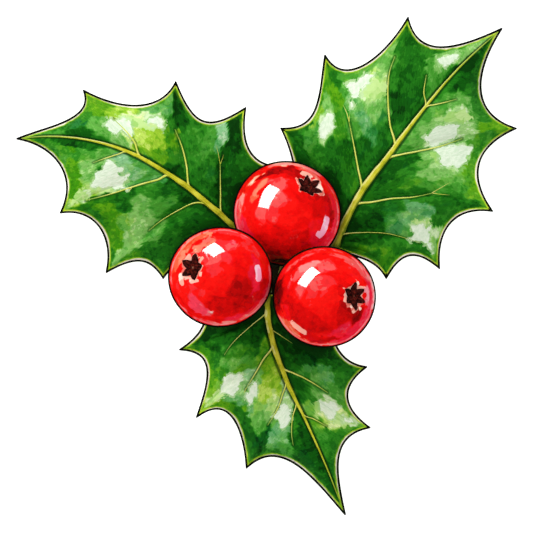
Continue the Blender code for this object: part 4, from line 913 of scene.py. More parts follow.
def berry_finish():
    """Ripe red skin: glassy, in washes of scarlet, crimson and rose, with painted shade where it turns
    under, a painted lit rim, and pale painted highlights round the calyx and on its sides."""
    skin = Finish("berry skin")
    here, seen = skin.surface("local", 1), skin.surface("seen", 1)
    flow = skin.warped(seen, 3.0, 0.22)
    broad = skin.dabs(flow, 4.2)
    small = skin.dabs(skin.warped(seen, 7.0, 0.12), 11.0)
    blot = skin.cloud(seen, 2.1, 4, 0.6, 0.6)
    torn = skin.cloud(seen, 8.0, 4, 0.62, 0.4)
    ragged = skin.cloud(seen, 6.0, 2, 0.5, 0.6)

    def dab(name, tear):
        edge = skin.surface(name) + (torn - 0.5) * tear + (small - 0.5) * (tear * 0.5)
        return edge.step(-0.06, 0.06)

    def two(a, b, by=broad):
        return skin.mix(by.step(0.35, 0.62), colour(*a), colour(*b))

    mottle = (ragged - 0.5) * 0.24 + (broad - 0.5) * 0.12 + (small - 0.5) * 0.12 + (blot - 0.5) * 0.10
    tone = skin.surface("tone") * 1.04 + 0.005
    tone = tone + mottle * (1.15 - tone).at_least(0.3)
    warm = skin.surface("warmth") + (broad - 0.5) * 0.3 + (ragged - 0.5) * 0.5
    red = skin.mix(warm.step(0.15, 0.75), skin.layered(tone, SCARLET), skin.layered(tone, ORANGE))
    red = skin.mix((-warm).step(0.15, 0.75), red, skin.layered(tone, ROSE))
    up = skin.surface("up")                # 1 on top of the berry, 0 at its widest, -1 underneath
    # random grain, and painted shade that darkens the skin away from its top
    red = skin.grained(red, (torn.step(0.3, 0.7) - 0.5) * 0.20 - (1 - up.step(0.4, 0.8)) * 0.10)
    # lilac dabs: a second painted reflection
    red = skin.mix(dab("lilac", 0.35) * 0.95, red, two((252, 176, 206), (255, 214, 232)))
    # a pale ring round the calyx: painted highlight on the puckered lip
    ring = skin.surface("collar") + (torn - 0.5) * 1.4 + (broad - 0.5) * 2.0
    red = skin.mix(ring.step(-0.04, 0.06) * 0.85, red, two((226, 120, 104), (246, 186, 166), small))
    # cream dabs: painted highlights round the calyx and on the rim
    red = skin.mix(dab("cream", 0.6) * 0.95, red, two((246, 170, 150), (250, 216, 200)))
    red = skin.mix(skin.surface("pit") * 0.9, red, colour(62, 10, 8))

    # a painted lit edge, painted rim light, where the berry turns away from above, and painted shade
    # in deep red on the underside
    lit = up.step(0.14, 0.17) * (1 - (up + (ragged - 0.5) * 0.05).step(0.265, 0.295))
    bright = (tone + (blot - 0.5) * 0.3).step(0.60, 0.74)
    red = skin.mix(lit * bright * 0.75, red, two((240, 92, 104), (244, 138, 142), blot))
    red = skin.mix((1 - up.step(-0.85, 0.14)) * 0.9, red, two((96, 8, 12), (136, 10, 15)))
    pores = skin.cells(here, 3.4, "F1").step(0.05, 0.28)
    glass = (up.step(0.54, 0.70) * 0.88 + 0.12) * skin.surface("lip").step(2.15, 2.5)
    return skin.done(red, 0.5 + (torn - 0.5) * 0.1, 0.0, pores * 0.4 + blot * 0.6, 0.02,
                     **{"Coat Weight": glass, "Coat Roughness": 0.03, "Coat IOR": 1.9})


def calyx_finish():
    """Dry, almost black lobes with a reddish heart."""
    dry = Finish("dry calyx")
    here = dry.surface("local", 1)
    lobe = dry.surface("lobe")             # 0 at the heart and 1 at a tip
    fibre = dry.cloud(dry.scaled(dry.surface("polar", 1), 26, 2.2, 1), 1.0, 3, 0.6)
    blot = dry.cloud(here, 3.2, 4, 0.6)
    brown = dry.ramp(fibre * 0.5 + blot * 0.5,
                     (0.38, colour(22, 4, 3)), (0.48, colour(38, 8, 6)),
                     (0.56, colour(70, 16, 11)), (0.66, colour(112, 38, 26)))
    heart = (1 - lobe.step(0.20, 0.52)) * blot.step(0.42, 0.55)
    brown = dry.mix(heart * 0.8, brown, colour(108, 28, 18))
    edge = dry.surface("edge")
    brown = dry.mix(1 - edge.step(0.04, 0.16), brown, colour(14, 3, 3))
    brown = dry.mix(dry.surface("nub") * 0.9, brown, colour(206, 150, 122))
    return dry.done(brown, 0.62 + (blot - 0.5) * 0.3, 0.06, fibre * 0.7 + blot * 0.5, 0.05)


def stalk_finish():
    """Green berry stalk with fine ribs, browner at both ends."""
    stalk = Finish("berry stalk")
    grain, here = stalk.surface("grain", 1), stalk.millimetres()
    fibre = stalk.cloud(stalk.scaled(grain, 0.6, 5, 5), 1.0, 4, 0.6)
    blot = stalk.cloud(here, 1.2, 3)
    body = stalk.ramp(fibre * 0.6 + blot * 0.4,
                      (0.36, colour(74, 88, 24)), (0.50, colour(112, 128, 44)),
                      (0.62, colour(150, 156, 74)))
    ends = abs(stalk.surface("share") - 0.5).step(0.40, 0.50)
    body = stalk.mix(ends * 0.6, body, colour(92, 58, 34))
    return stalk.done(body, 0.55 + (blot - 0.5) * 0.2, 0.4, fibre, 0.04)


def twig_finish():
    """Young green bark with lengthwise wrinkles and cork dots, a cut end and a scaly bud, and almost
    black painted shade in the gap under the berries.
    """
    bark = Finish("twig bark")
    grain, here = bark.surface("grain", 1), bark.millimetres()
    cut, bud = bark.surface("cut"), bark.surface("bud")
    fibre = bark.cloud(bark.scaled(grain, 0.45, 4, 4), 1.0, 5, 0.62, 0.3)
    blot = bark.cloud(here, 0.6, 4)
    body = bark.ramp(fibre * 0.5 + blot * 0.5,
                     (0.34, colour(58, 66, 26)), (0.47, colour(86, 96, 38)),
                     (0.58, colour(116, 122, 56)), (0.70, colour(140, 132, 80)))
    cork = bark.cells(here, 1.5, "F1").step(0.10, 0.16)
    body = bark.mix((1 - cork) * 0.8, body, colour(150, 124, 88))
    scaly = bark.mix(blot.step(0.42, 0.58), colour(96, 116, 40), colour(128, 84, 46))
    body = bark.mix(bud * 0.8, body, scaly)
    rings = bark.node("TexWave", {"wave_type": "RINGS", "rings_direction": "SPHERICAL"},
                      {"Vector": bark.surface("local", 1), "Scale": 1.1, "Distortion": 1.5})
    wood = bark.mix(rings, colour(206, 196, 150), colour(232, 224, 184))
    wood = bark.mix(1 - bark.surface("heart").step(0.22, 0.34), wood, colour(168, 176, 104))
    body = bark.mix(cut, body, wood)
    # painted shade, almost black, in the gap between the berries
    body = bark.mix((1 - bark.surface("shelter").step(0.6, 2.2)) * 0.92, body, colour(12, 12, 7))
    height = fibre * 0.8 + (1 - cork) * 0.5
    return bark.done(body, 0.62 + (blot - 0.5) * 0.2, 0.35, height, 0.06)


# ---- leaves ------------------------------------------
class Side:
    """One half of a leaf's margin, from the base of the blade to its tip."""

    def __init__(self, base, starts, spines, turn, back):
        first = Spine(*base, back, 0, 0, 0.0, 0.0)
        self.nodes = (first,) + tuple(spines)
        self.spines = [s for s in spines if s.half_angle < 90]
        nodes = self.nodes
        self.joins = np.array([n.joins for n in nodes])
        self.heights = np.array([n.z for n in nodes])
        self.lifts = np.array([n.lift for n in nodes])
        self.headings = np.array([n.heading for n in nodes], dtype=float)
        self.handles = []
        for i in range(1, len(nodes)):
            a, b = nodes[i - 1], nodes[i]
            p0, p3 = np.array([a.x, a.y]), np.array([b.x, b.y])
            reach = b.pull * np.linalg.norm(p3 - p0)
            leave = starts if i == 1 else a.heading + 180 - turn * a.half_angle
            p1 = p0 + bearing(leave) * reach
            p2 = p3 + bearing(b.heading + 180 + turn * b.half_angle) * reach
            self.handles.append((p0, p1, p2, p3))
        self.handles = np.array(self.handles)

    def at(self, shares):
        """Margin points, outward headings and arches of the columns that leave at shares."""
        i = np.clip(np.searchsorted(self.joins, shares - 1e-9), 1, len(self.joins) - 1)
        step = np.clip((shares - self.joins[i - 1]) / (self.joins[i] - self.joins[i - 1]), 0, 1)
        p0, p1, p2, p3 = (self.handles[i - 1, k] for k in range(4))
        s, r = step[:, None], 1 - step[:, None]
        flat = p0 * r ** 3 + p1 * 3 * r * r * s + p2 * 3 * r * s * s + p3 * s ** 3
        arch = np.sin(np.pi * step)
        height = (self.heights[i - 1] + (self.heights[i] - self.heights[i - 1]) * smooth(step)
                  + self.lifts[i] * arch)
        swing = (self.headings[i] - self.headings[i - 1] + 180) % 360 - 180
        heading = self.headings[i - 1] + swing * step
        return np.column_stack([flat, height]), heading, arch


class Blade:
    """The curved sheet of one leaf, as columns that run from its midrib out to its margin."""

    def __init__(self, leaf):
        self.rib = Path(leaf.midrib)
        base, ahead = self.rib.at(np.array([0, 0.05]))
        back = math.degrees(math.atan2(base[1] - ahead[1], base[0] - ahead[0]))
        self.sides = (Side(base, leaf.left_starts, leaf.left, -1, back),
                      Side(base, leaf.right_starts, leaf.right, 1, back))
        self.shares = self.columns()
        self.lay_out()

    def columns(self):
        """Shares of the midrib where the columns leave it, closest near the spines."""
        knots = sorted({node.joins for side in self.sides for node in side.nodes})
        shares = [0.0]
        for a, b in zip(knots, knots[1:]):
            longest = 0.0
            for side in self.sides:
                run = side.at(np.linspace(a, b, 30))[0]
                longest = max(longest, np.linalg.norm(np.diff(run[:, :2], axis=0), axis=1).sum())
            count = max(3, round(longest / COLUMN_STEP))
            step = np.arange(1, count + 1) / count
            shares += list(a + (b - a) * (0.55 * step + 0.45 * (1 - np.cos(np.pi * step)) / 2))
        return np.array(shares)

    def sheet(self, side, outs):
        """Points of the middle of the sheet, a row for each column and a place for each out, with
        the columns' lengths and arches."""
        rib = self.rib.at(self.shares)[:, None, :]
        edge, heading, arch = self.sides[side].at(self.shares)
        reach = np.linalg.norm(edge[:, :2] - rib[:, 0, :2], axis=1)
        knee = (edge[:, :2] - bearing(heading) * BEND * reach[:, None])[:, None, :]
        edge = edge[:, None, :]
        t = np.asarray(outs)[None, :, None]
        flat = rib[..., :2] * (1 - t) ** 2 + knee * 2 * (1 - t) * t + edge[..., :2] * t * t
        t = t[..., 0]
        swell = PUFF * arch[:, None] * np.sin(np.pi * t) * np.minimum(1, reach / 8)[:, None]
        height = rib[..., 2] + (edge[..., 2] - rib[..., 2]) * t ** SAG + swell
        return np.dstack([flat, height]), reach, arch

    def lay_out(self):
        """Lists the sheet's points, the midrib's first, and numbers them in a grid for each half.
        A run is a point's place along the midrib, its way out from it and its half."""
        count = len(self.shares)
        share = np.linspace(0, 1, ROWS + 1)
        outs = 0.45 * share + 0.55 * smooth(share)
        along = self.shares * self.rib.length
        middles = [self.rib.at(self.shares)]
        runs = [np.column_stack([along, np.zeros(count), np.zeros(count)])]
        arches = [np.zeros(count)]
        inside, total = (count - 2) * ROWS, count
        self.grids = []
        for side in (0, 1):
            points, reach, arch = self.sheet(side, outs)
            run = np.dstack(np.broadcast_arrays(along[:, None], outs * reach[:, None], side + 1.0))
            middles.append(points[1:-1, 1:].reshape(-1, 3))
            runs.append(run[1:-1, 1:].reshape(-1, 3))
            arches.append(np.repeat(arch[1:-1], ROWS))
            grid = np.empty((count, ROWS + 1), dtype=int)
            grid[:, 0] = np.arange(count)
            grid[0, :], grid[-1, :] = 0, count - 1
            grid[1:-1, 1:] = total + np.arange(inside).reshape(count - 2, ROWS)
            total += inside
            self.grids.append(grid)
        self.middles, self.runs = np.concatenate(middles), np.concatenate(runs)
        self.arches = np.concatenate(arches)

    def faces(self):
        """Faces of the upper and the lower sheet, and of the strip between them at the margin."""
        total = len(self.middles)
        faces = []
        for side, grid in enumerate(self.grids):
            for under in (0, 1):
                g = grid + under * total
                for k in range(len(g) - 1):
                    for j in range(ROWS):
                        face = (g[k, j], g[k, j + 1], g[k + 1, j + 1], g[k + 1, j])
                        face = tuple(dict.fromkeys(int(i) for i in face))
                        if len(face) > 2:
                            faces.append(face[::-1] if side ^ under else face)
            edge = [int(i) for i in grid[:, -1]]
            for a, b in zip(edge, edge[1:]):
                face = (a, a + total, b + total, b)
                faces.append(face[::-1] if side else face)
        return faces


def depth_inside(points, outlines):
    """How far each point lies inside the nearest of some outlines, negative outside, up to 2."""
    place, deepest = points[:, :2], np.full(len(points), -2.0)
    for outline in outlines:
        gap, inside = np.full(len(points), 9.0), np.zeros(len(points), dtype=bool)
        for a, b in zip(outline, outline[1:] + outline[:1]):
            a, edge = np.array(a), np.array(b) - a
            along = np.clip((place - a) @ edge / (edge @ edge), 0, 1)
            gap = np.minimum(gap, np.linalg.norm(place - a - along[:, None] * edge, axis=1))
            if edge[1]:
                crossing = a[0] + edge[0] * (place[:, 1] - a[1]) / edge[1]
                inside ^= ((a[1] > place[:, 1]) != (b[1] > place[:, 1])) & (place[:, 0] < crossing)
        deepest = np.maximum(deepest, np.where(inside, gap, -gap))
    return deepest


def berry_shade_distance(points):
    """How far each point lies outside the berries as seen from above, 0 underneath them. Painted
    shade falls where this is small.
    """
    outside = [np.hypot(points[:, 0] - berry.centre[0], points[:, 1] - berry.centre[1]) - berry.radius
               for berry in BERRIES.values()]
    return np.maximum(0, np.min(outside, axis=0))


def in_the_gap(points):
    """How far each point lies from the painted shade in the gap between the berries: as for the shade
    under the berries, but 0 only in the gap, and more away from its middle.
    """
    from_gap = np.hypot(points[:, 0] - GAP[0], points[:, 1] - GAP[1])
    return np.maximum(berry_shade_distance(points), from_gap - GAP_RADIUS)


def stroked(points, strokes):
    """Tone and warmth at each point, from the strokes around it. Far from all, the tone is 0.28."""
    total, tone, warmth = (np.full(len(points), v * 1e-8) for v in (1.0, 0.28, 0.0))
    for x, y, turn, long, wide, value, warm in strokes:
        ahead = bearing(turn)
        gap = points[:, :2] - (x, y)
        weight = np.exp(-4.5 * ((gap @ ahead / long) ** 2 + (gap @ (-ahead[1], ahead[0]) / wide) ** 2))
        total += weight
        tone += weight * value
        warmth += weight * warm
    return tone / total, warmth / total


def rib_radius(name, shares):
    """Radius of a leaf's midrib at shares of its length, stoutest in the right leaf."""
    radius = np.interp(shares, [0, 0.06, 0.3, 0.5, 0.7, 0.85, 0.975],
                       [0.48, 0.46, 0.40, 0.29, 0.18, 0.11, 0.04])
    near, far = {"leaf_right": (1.2, 1.1), "leaf_lower": (1.0, 0.8)}.get(name, (1.0, 1.0))
    return radius * np.interp(shares, [0.3, 0.6], [near, far])


def relief(blade, to_rib, to_vein, to_margin):
    """Height on the smooth sheet: a channel along the midrib, shallow valleys on the veins, a
    leathery swell and a raised margin."""
    lift = -0.16 * np.exp(-(to_rib / 0.7) ** 2) * smooth(to_margin / 1.5)
    lift -= 0.16 * np.exp(-(to_vein / 0.55) ** 2) * smooth(to_margin / 1.5)
    lift += 0.16 * ripple(blade.middles, 0.30, 1) * smooth(to_margin / 2.0)
    lift += 0.05 * ripple(blade.middles, 0.95, 2) * smooth(to_margin / 1.2)
    lift += 0.14 * np.exp(-(to_margin / 0.45) ** 2)
    along = blade.runs[:, 0]
    return lift * np.minimum(1, np.minimum(along, (1 - along / blade.rib.length) * 20) / 2)


def blade_paint(name, points):
    """The tone, the warmth and the painted highlights at each point of a blade."""
    fields = {key: depth_inside(points, outlines) for key, outlines in LEAF_PAINTED_SHEEN[name].items()}
    place, chance = dabbed(points, 0.75, 5)
    tone, warmth = stroked(points[:, :2] * 0.45 + place * 0.55, LEAF_STROKES[name])
    return {**fields, "tone": tone + chance * 0.10, "warmth": warmth}


def make_blade(name, leaf, finish):
    """A leaf's blade, as two sheets joined at the margin. Gives its layout and its upper side."""
    blade = Blade(leaf)
    middles = blade.middles
    margin = np.concatenate([side.at(np.linspace(0, 1, 1600))[0] for side in blade.sides])
    to_margin = nearest(middles, margin)
    to_rib = nearest(middles, blade.rib.at(np.linspace(0, 1, 400)))
    to_veins = np.array([nearest(middles, vein_path(blade, vein).at(np.linspace(0, 1, 60)))
                         for vein in leaf.veins])
    beside_rib = to_rib - rib_radius(name, blade.runs[:, 0] / blade.rib.length)
    beside_vein = (to_veins - np.array([[vein.width / 2] for vein in leaf.veins])).min(0)
    middles[:, 2] += relief(blade, to_rib, to_veins.min(0), to_margin)
    half = EDGE_HALF + (CORE_HALF - EDGE_HALF) * smooth(to_margin / 1.4)
    sheets = [middles + half[:, None] * (0, 0, way) for way in (1, -1)]

    shape = Shape()
    fields = {"run": blade.runs, "margin": to_margin, "rib": beside_rib, "vein": beside_vein,
              "arch": blade.arches, "shelter": berry_shade_distance(middles), **blade_paint(name, middles)}
    fields = {key: np.concatenate([value, value]) for key, value in fields.items()}
    faces = blade.faces()
    shape.add(np.concatenate(sheets), faces, under=np.repeat([0.0, 1.0], len(middles)), **fields)
    shape.piece(name + "_blade", name, finish)
    above = [face for face in faces if max(face) < len(middles)]
    return blade, BVHTree.FromPolygons(sheets[0].tolist(), above)


def vein_path(blade, vein):
    """A side vein's route seen from above. It peels off the midrib from a little lower down."""
    lead = 0.7 / blade.rib.length
    first = blade.rib.at(np.array([vein.leaves - 1.6 * lead, vein.leaves - 0.5 * lead]))
    start, turn = first[0], first[1]
    towards = np.array(vein.points[0]) - turn[:2]
    turn = turn[:2] + towards / np.linalg.norm(towards) * 0.22
    return Path([tuple(start[:2]), tuple(turn)] + [tuple(p) for p in vein.points])


def on_blade(top, flat, sink):
    """Puts points seen from above on the blade's upper side, sink below its surface."""
    placed = []
    for x, y in flat[:, :2]:
        hit = top.ray_cast(Vector((x, y, 30)), Vector((0, 0, -1)))[0]
        placed.append((x, y, hit.z if hit else np.nan))
    placed = np.array(placed)
    good = ~np.isnan(placed[:, 2])
    placed[:, 2] = np.interp(np.arange(len(placed)), np.flatnonzero(good), placed[good, 2])
    placed[:, 2] -= sink
    return placed


def make_ribs(name, leaf, blade, top, finish):
    """A leaf's petiole, which runs on as its midrib, and its side veins."""
    shape = Shape()
    base = Path(leaf.petiole + (leaf.midrib[0],))
    lead = np.linspace(0, 1, 26)
    shares = np.linspace(0, 0.975, 150)[1:]
    ridge = on_blade(top, blade.rib.at(shares), 0.0)
    width = rib_radius(name, shares)
    ridge[:, 2] -= width * 0.55
    rise = smooth(shares / 0.05)
    ridge[:, 2] = ridge[:, 2] * rise + blade.rib.at(shares)[:, 2] * (1 - rise)
    petiole = np.interp(lead, [0, 0.12, 0.5, 1], [0.80, 0.66, 0.56, 0.50])
    rib = Stem(np.concatenate([base.at(lead), ridge]), np.concatenate([petiole, width]), 20, 1.0,
               lambda s, a: 1 + 0.03 * np.sin(a * 5 + s * 9) + 0.02 * np.sin(a * 9 + 2))
    long = blade.rib.length + base.length
    stalk = 1 - smooth((rib.share * long - base.length + 0.5) / 2.8)
    shape.add(rib.points, rib.faces, share=rib.share * 0.95, stalk=stalk, grain=rib.grain(long),
              lit=rib.lit, side_vein=0.0, shelter=berry_shade_distance(rib.points))

    for number, vein in enumerate(leaf.veins):
        add_vein(shape, top, vein_path(blade, vein), vein.width / 2, VEIN_TAPER, number)
        for fork in vein.forks:
            add_vein(shape, top, Path(fork), vein.width / 4, FORK_TAPER, number)
    shape.piece(name + "_ribs", name, finish)


# a vein's radius at shares of its length, as a share of the radius that it is given
VEIN_TAPER = ((0, 0.10, 0.25, 1), (2.0, 1.3, 0.95, 0.38))
FORK_TAPER = ((0, 1), (0.85, 0.35))


def add_vein(shape, top, route, radius, taper, number):
    """Adds one side vein or one of its forks, pressed half into the blade's upper side."""
    share = np.linspace(0, 1, max(8, int(route.length / 0.22)))
    flat = route.at(share)
    size = radius * np.interp(share, *taper) * (1 + 0.10 * ripple(flat, 1.2, number))
    vein = Stem(on_blade(top, flat, size * 0.45), size, 10)
    shape.add(vein.points, vein.faces, share=vein.share, stalk=0.0, lit=vein.lit, side_vein=1.0,
              grain=vein.grain(route.length, number), shelter=berry_shade_distance(vein.points))


def add_nerve(shape, blade, top, side, inwards, i):
    """Adds the nerve along the scallop that arrives at a margin's node i."""
    a, b = side.nodes[i - 1], side.nodes[i]
    step = np.linspace(0, 1, 70)
    step = 0.5 * step + 0.5 * smooth(step)
    run = side.at(a.joins + (b.joins - a.joins) * np.clip(step, 1e-6, 1))[0]
    if i == 1:
        run[0] = blade.rib.at(np.array([0.0]))[0]
    # the nerve stands clear of the blade, so that its whole width shows from above
    ahead = np.gradient(run[:, :2], axis=0)
    ahead /= np.linalg.norm(ahead, axis=1, keepdims=True)
    beside = run[:, :2] + ahead[:, ::-1] * (-inwards, inwards) * MARGIN_SINK
    run[:, 2] = np.maximum(run[:, 2] + 0.17, on_blade(top, beside, 0.02)[:, 2])
    radii = RIM_RADIUS * (1 + 0.12 * ripple(run, 0.6, i))
    if a.half_angle < 90 and i > 1:
        radii[:3] *= (0.7, 0.85, 0.95)
    nerve = Stem(run, radii, 10)
    shape.add(nerve.points, nerve.faces, thorn=0.0)


def add_thorn(shape, spine):
    """Adds the thorn on a spine, which reaches 0.12 mm past the spine's point."""
    length = np.linspace(0.6, -0.12, 12)
    flat = np.array([spine.x, spine.y]) - np.outer(length, bearing(spine.heading))
    radii = np.interp(length, [-0.12, 0.0, 0.25, 0.6], [0.07, 0.13, 0.12, 0.05])
    thorn = Stem(np.column_stack([flat, np.full(12, spine.z + 0.14)]), radii, 12)
    shape.add(thorn.points, thorn.faces, thorn=1.0)


def make_rim(name, blade, top, finish):
    """The hard nerve along the margin, one run for each scallop, and a thorn on each spine."""
    shape = Shape()
    for side, inwards in zip(blade.sides, (-1, 1)):
        for i in range(1, len(side.nodes)):
            add_nerve(shape, blade, top, side, inwards, i)
        for spine in side.spines:
            add_thorn(shape, spine)
    shape.piece(name + "_rim", name, finish)


# ---- berries -----------------------------------------
def off_lobe(angle, berry):
    """Which lobe of the calyx is nearest, and how far off it is: 0 on a lobe, 1 between two."""
    turn = (angle - math.radians(berry.turn)) * berry.lobes / (2 * np.pi)
    return np.round(turn), np.abs(turn - np.round(turn)) * 2


def star_reach(angle, berry):
    """Outline of the calyx: pointed lobes with curved flanks."""
    lobe, off = off_lobe(angle, berry)
    uneven = 1 + 0.09 * np.sin(lobe * 2.4 + berry.turn)
    return STAR_WAIST + (STAR_RADIUS * uneven - STAR_WAIST) * (1 - off) ** 1.15


def turned(points, berry):
    """Local points, with the calyx along +Z, as points in the sprig."""
    axis = Vector(berry.axis).normalized()
    matrix = np.array(axis.to_track_quat("Z", "Y").to_matrix())
    return points @ matrix.T + np.array(berry.centre)


def spread(points, berry):
    """A berry is a little wider from left to right than from top to bottom."""
    centre = np.array(berry.centre)
    return centre + (points - centre) * (berry.wide, berry.tall, 1.0)


def round_gap(mark, compass, flat):
    """How far places lie from a stroke's middle, round the berry and outwards, in its own half
    length and half width. Places are bearings and shares of the radius as seen from above."""
    swing = np.radians((compass - mark[0] + 180) % 360 - 180)
    return swing * max(mark[1], 0.2) / mark[2], (flat - mark[1]) / mark[3]


def berry_paint(name, seen, up):
    """The tone, the warmth and the dabs of painted highlight at each point of a berry, from its
    direction seen.
    """
    place, chance = dabbed(seen, 0.13, ord(name[0]))
    place = seen[:, :2] * 0.65 + place * 0.35
    picked = np.degrees(np.arctan2(place[:, 1], place[:, 0])), np.hypot(place[:, 0], place[:, 1])
    total, tone, warmth = (np.full(len(seen), v * 1e-4) for v in (1.0, 0.54, 0.0))
    for mark in BERRY_STROKES[name]:
        round_by, out_by = round_gap(mark, *picked)
        weight = np.exp(-4.0 * (round_by ** 2 + out_by ** 2))
        total += weight
        tone += weight * mark[4]
        warmth += weight * mark[5]
    hidden = smooth(-up / 0.5)             # the paint is plainer where nothing shows from above
    fields = {"tone": (tone / total + chance * 0.06) * (1 - 0.7 * hidden) + 0.38 * hidden,
              "warmth": warmth / total * (1 - hidden)}
    compass = np.degrees(np.arctan2(seen[:, 1], seen[:, 0]))
    flat = np.hypot(seen[:, 0], seen[:, 1]) / np.linalg.norm(seen, axis=1)
    for key, dabs in BERRY_DABS[name].items():
        best = np.full(len(seen), -2.0)
        for mark in dabs:
            round_by, out_by = round_gap(mark, compass, flat)
            best = np.maximum(best, 1 - (round_by ** 4 + out_by ** 4) ** 0.25)
        fields[key] = np.where(up > 0, best, -2.0)
    return fields


def berry_form(name, berry, theta, angle):
    """A berry's skin with its calyx end along +Z, as rings and the two poles. Gives the points,
    their distances from the axis, their angles round it and which are on the calyx's half."""
    t, a = np.meshgrid(theta, angle, indexing="ij")
    r = berry.radius
    out = np.sin(t) * r
    flute = np.cos((a - math.radians(berry.turn)) * berry.lobes)
    # the calyx sits in a shallow dish with a puckered lip
    dish = -0.50 * (1 - smooth((out - 0.55) / 1.15)) + 0.10 * np.exp(-((out - 1.75) / 0.42) ** 2)
    pucker = 0.05 * flute * np.exp(-((out - 1.6) / 0.7) ** 2)
    foot = 0.25 * np.exp(-((np.pi - t) * r / 0.9) ** 2)
    size = r + np.where(t < np.pi / 2, dish + pucker, -foot)
    local = np.stack([np.sin(t) * np.cos(a) * size, np.sin(t) * np.sin(a) * size,
                      np.cos(t) * size * OBLATE], axis=-1).reshape(-1, 3)
    local = np.concatenate([local, [[0, 0, (r - 0.50) * OBLATE], [0, 0, -(r - 0.25) * OBLATE]]])
    lumps = 1 + 0.006 * ripple(local, 0.22, ord(name[0])) + 0.0012 * ripple(local, 0.9, 3)
    facing = np.append((t < np.pi / 2).ravel(), [True, False])
    return local * lumps[:, None], np.append(out.ravel(), [0, 0]), np.append(a.ravel(), [0, 0]), facing


def make_berry(name, berry, finish):
    """A berry's painted skin. Gives its points."""
    around, dish_end = 180, 0.42
    # the rings are closest in the dish, from the calyx's pole to the angle dish_end
    theta = np.concatenate([np.linspace(0, dish_end, 40)[1:], np.linspace(dish_end, np.pi, 82)[1:-1]])
    angle = np.arange(around) * 2 * np.pi / around
    local, out, turn, facing = berry_form(name, berry, theta, angle)
    points = spread(turned(local, berry), berry)
    north = len(theta) * around
    faces = (tube_faces(len(theta), around) + cap_faces(north, 0, around)
             + flipped(cap_faces(north + 1, north - around, around)))

    seen = (points - np.array(berry.centre)) / (np.array([berry.wide, berry.tall, 1.0]) * berry.radius)
    up = seen[:, 2] / np.linalg.norm(seen, axis=1)
    reach = star_reach(turn, berry)
    collar = np.where(facing, 1 - out / (reach * 0.6 + 0.82), -2)
    pit = np.where(facing, 1 - smooth((out - reach * 0.9) / 0.18), 0)
    shape = Shape()
    shape.add(points, faces, local=local, seen=seen, up=up, pit=pit, lip=np.where(facing, out, 9.0),
              collar=np.maximum(collar * 4, -2), **berry_paint(name, seen, up))
    shape.piece("berry_" + name + "_skin", "berry_" + name, finish)
    return points


def make_seam(name, berry, skin, finish):
    """A fine dark thread round a berry's widest part, which outlines it from above."""
    steps, blur = 240, 21
    turn = np.arange(steps + 1) * 360 / steps
    outwards = (skin[:, :2] - berry.centre[:2]) @ bearing(turn).T
    reach, height = outwards.max(0), skin[outwards.argmax(0), 2]
    height = np.tile(height[:-1], 3)
    height = np.convolve(height, np.ones(blur) / blur, "same")[steps:2 * steps + 1]
    loop = np.column_stack([bearing(turn) * reach[:, None] + berry.centre[:2], height])
    thickness = SEAM * (1 + 0.16 * ripple(loop, 0.35, ord(name[0])))
    thickness[-1] = thickness[0]
    thread = Stem(loop, thickness, 10, 0.4)
    shape = Shape()
    shape.add(thread.points, thread.faces, thorn=0.0)
    shape.piece("berry_" + name + "_seam", "berry_" + name, finish)


def calyx_heights(berry, s, a, out):
    """Heights of the star's upper and lower side above the berry's own end, at shares s of the
    way to the outline and angles a."""
    off = off_lobe(a, berry)[1]
    ground = np.sqrt(berry.radius ** 2 - out ** 2) - berry.radius - 0.5 * (1 - smooth((out - 0.55) / 1.15))
    ridge = 0.12 * (1 - off) * np.sin(np.pi * np.clip(s, 0, 1)) ** 0.8
    curl = 0.10 * smooth((out - 1.0) / 0.6)
    hollow = -0.16 * np.exp(-(out / 0.30) ** 2) + 0.10 * np.exp(-((out - 0.42) / 0.13) ** 2)
    nub = 0.24 * np.exp(-(out / 0.10) ** 2)
    crinkle = 0.025 * np.sin(a * berry.lobes * 3 + s * 5)
    thick = 0.13 + 0.05 * np.cos(s * np.pi / 2)
    top = ground + 0.20 + ridge + curl + hollow + nub + crinkle - 0.10 * s ** 3
    return top, top - thick * (1 - 0.6 * s ** 2) - 0.02


def make_calyx(name, berry, finish):
    """The dry star of a berry, a thin curled sheet."""
    around, rows = 144, 22
    s, a = np.meshgrid(np.linspace(0, 1, rows + 1)[1:], np.arange(around) * 2 * np.pi / around,
                       indexing="ij")
    reach = star_reach(a, berry)
    out = s * reach
    sheets = []
    for height in calyx_heights(berry, s, a, out):
        grid = np.stack([out * np.cos(a), out * np.sin(a), height], axis=-1).reshape(-1, 3)
        sheets.append(np.concatenate([grid, [[0, 0, height[0].mean()]]]))
    local = np.concatenate(sheets)
    each, last = len(sheets[0]), (rows - 1) * around
    faces = tube_faces(rows, around) + cap_faces(each - 1, 0, around)
    faces += flipped(tube_faces(rows, around, each) + cap_faces(2 * each - 1, each, around))
    for k in range(around):
        a_last, b_last = last + k, last + (k + 1) % around
        faces.append((a_last, each + a_last, each + b_last, b_last))
    span = np.append(out.ravel(), 0)
    polar = np.column_stack([np.append(a.ravel(), 0) / (2 * np.pi), span, 0 * span])
    shape = Shape()
    shape.add(spread(turned(local + [0, 0, berry.radius * OBLATE], berry), berry), faces, local=local,
              lobe=np.tile(span / STAR_RADIUS, 2), polar=np.tile(polar, (2, 1)),
              edge=np.tile(np.append((reach * (1 - s)).ravel(), 1), 2),
              nub=np.tile(np.exp(-(span / 0.11) ** 2), 2) * (1 if name == "left" else 0.25))
    shape.piece("calyx_" + name + "_star", "calyx_" + name, finish)


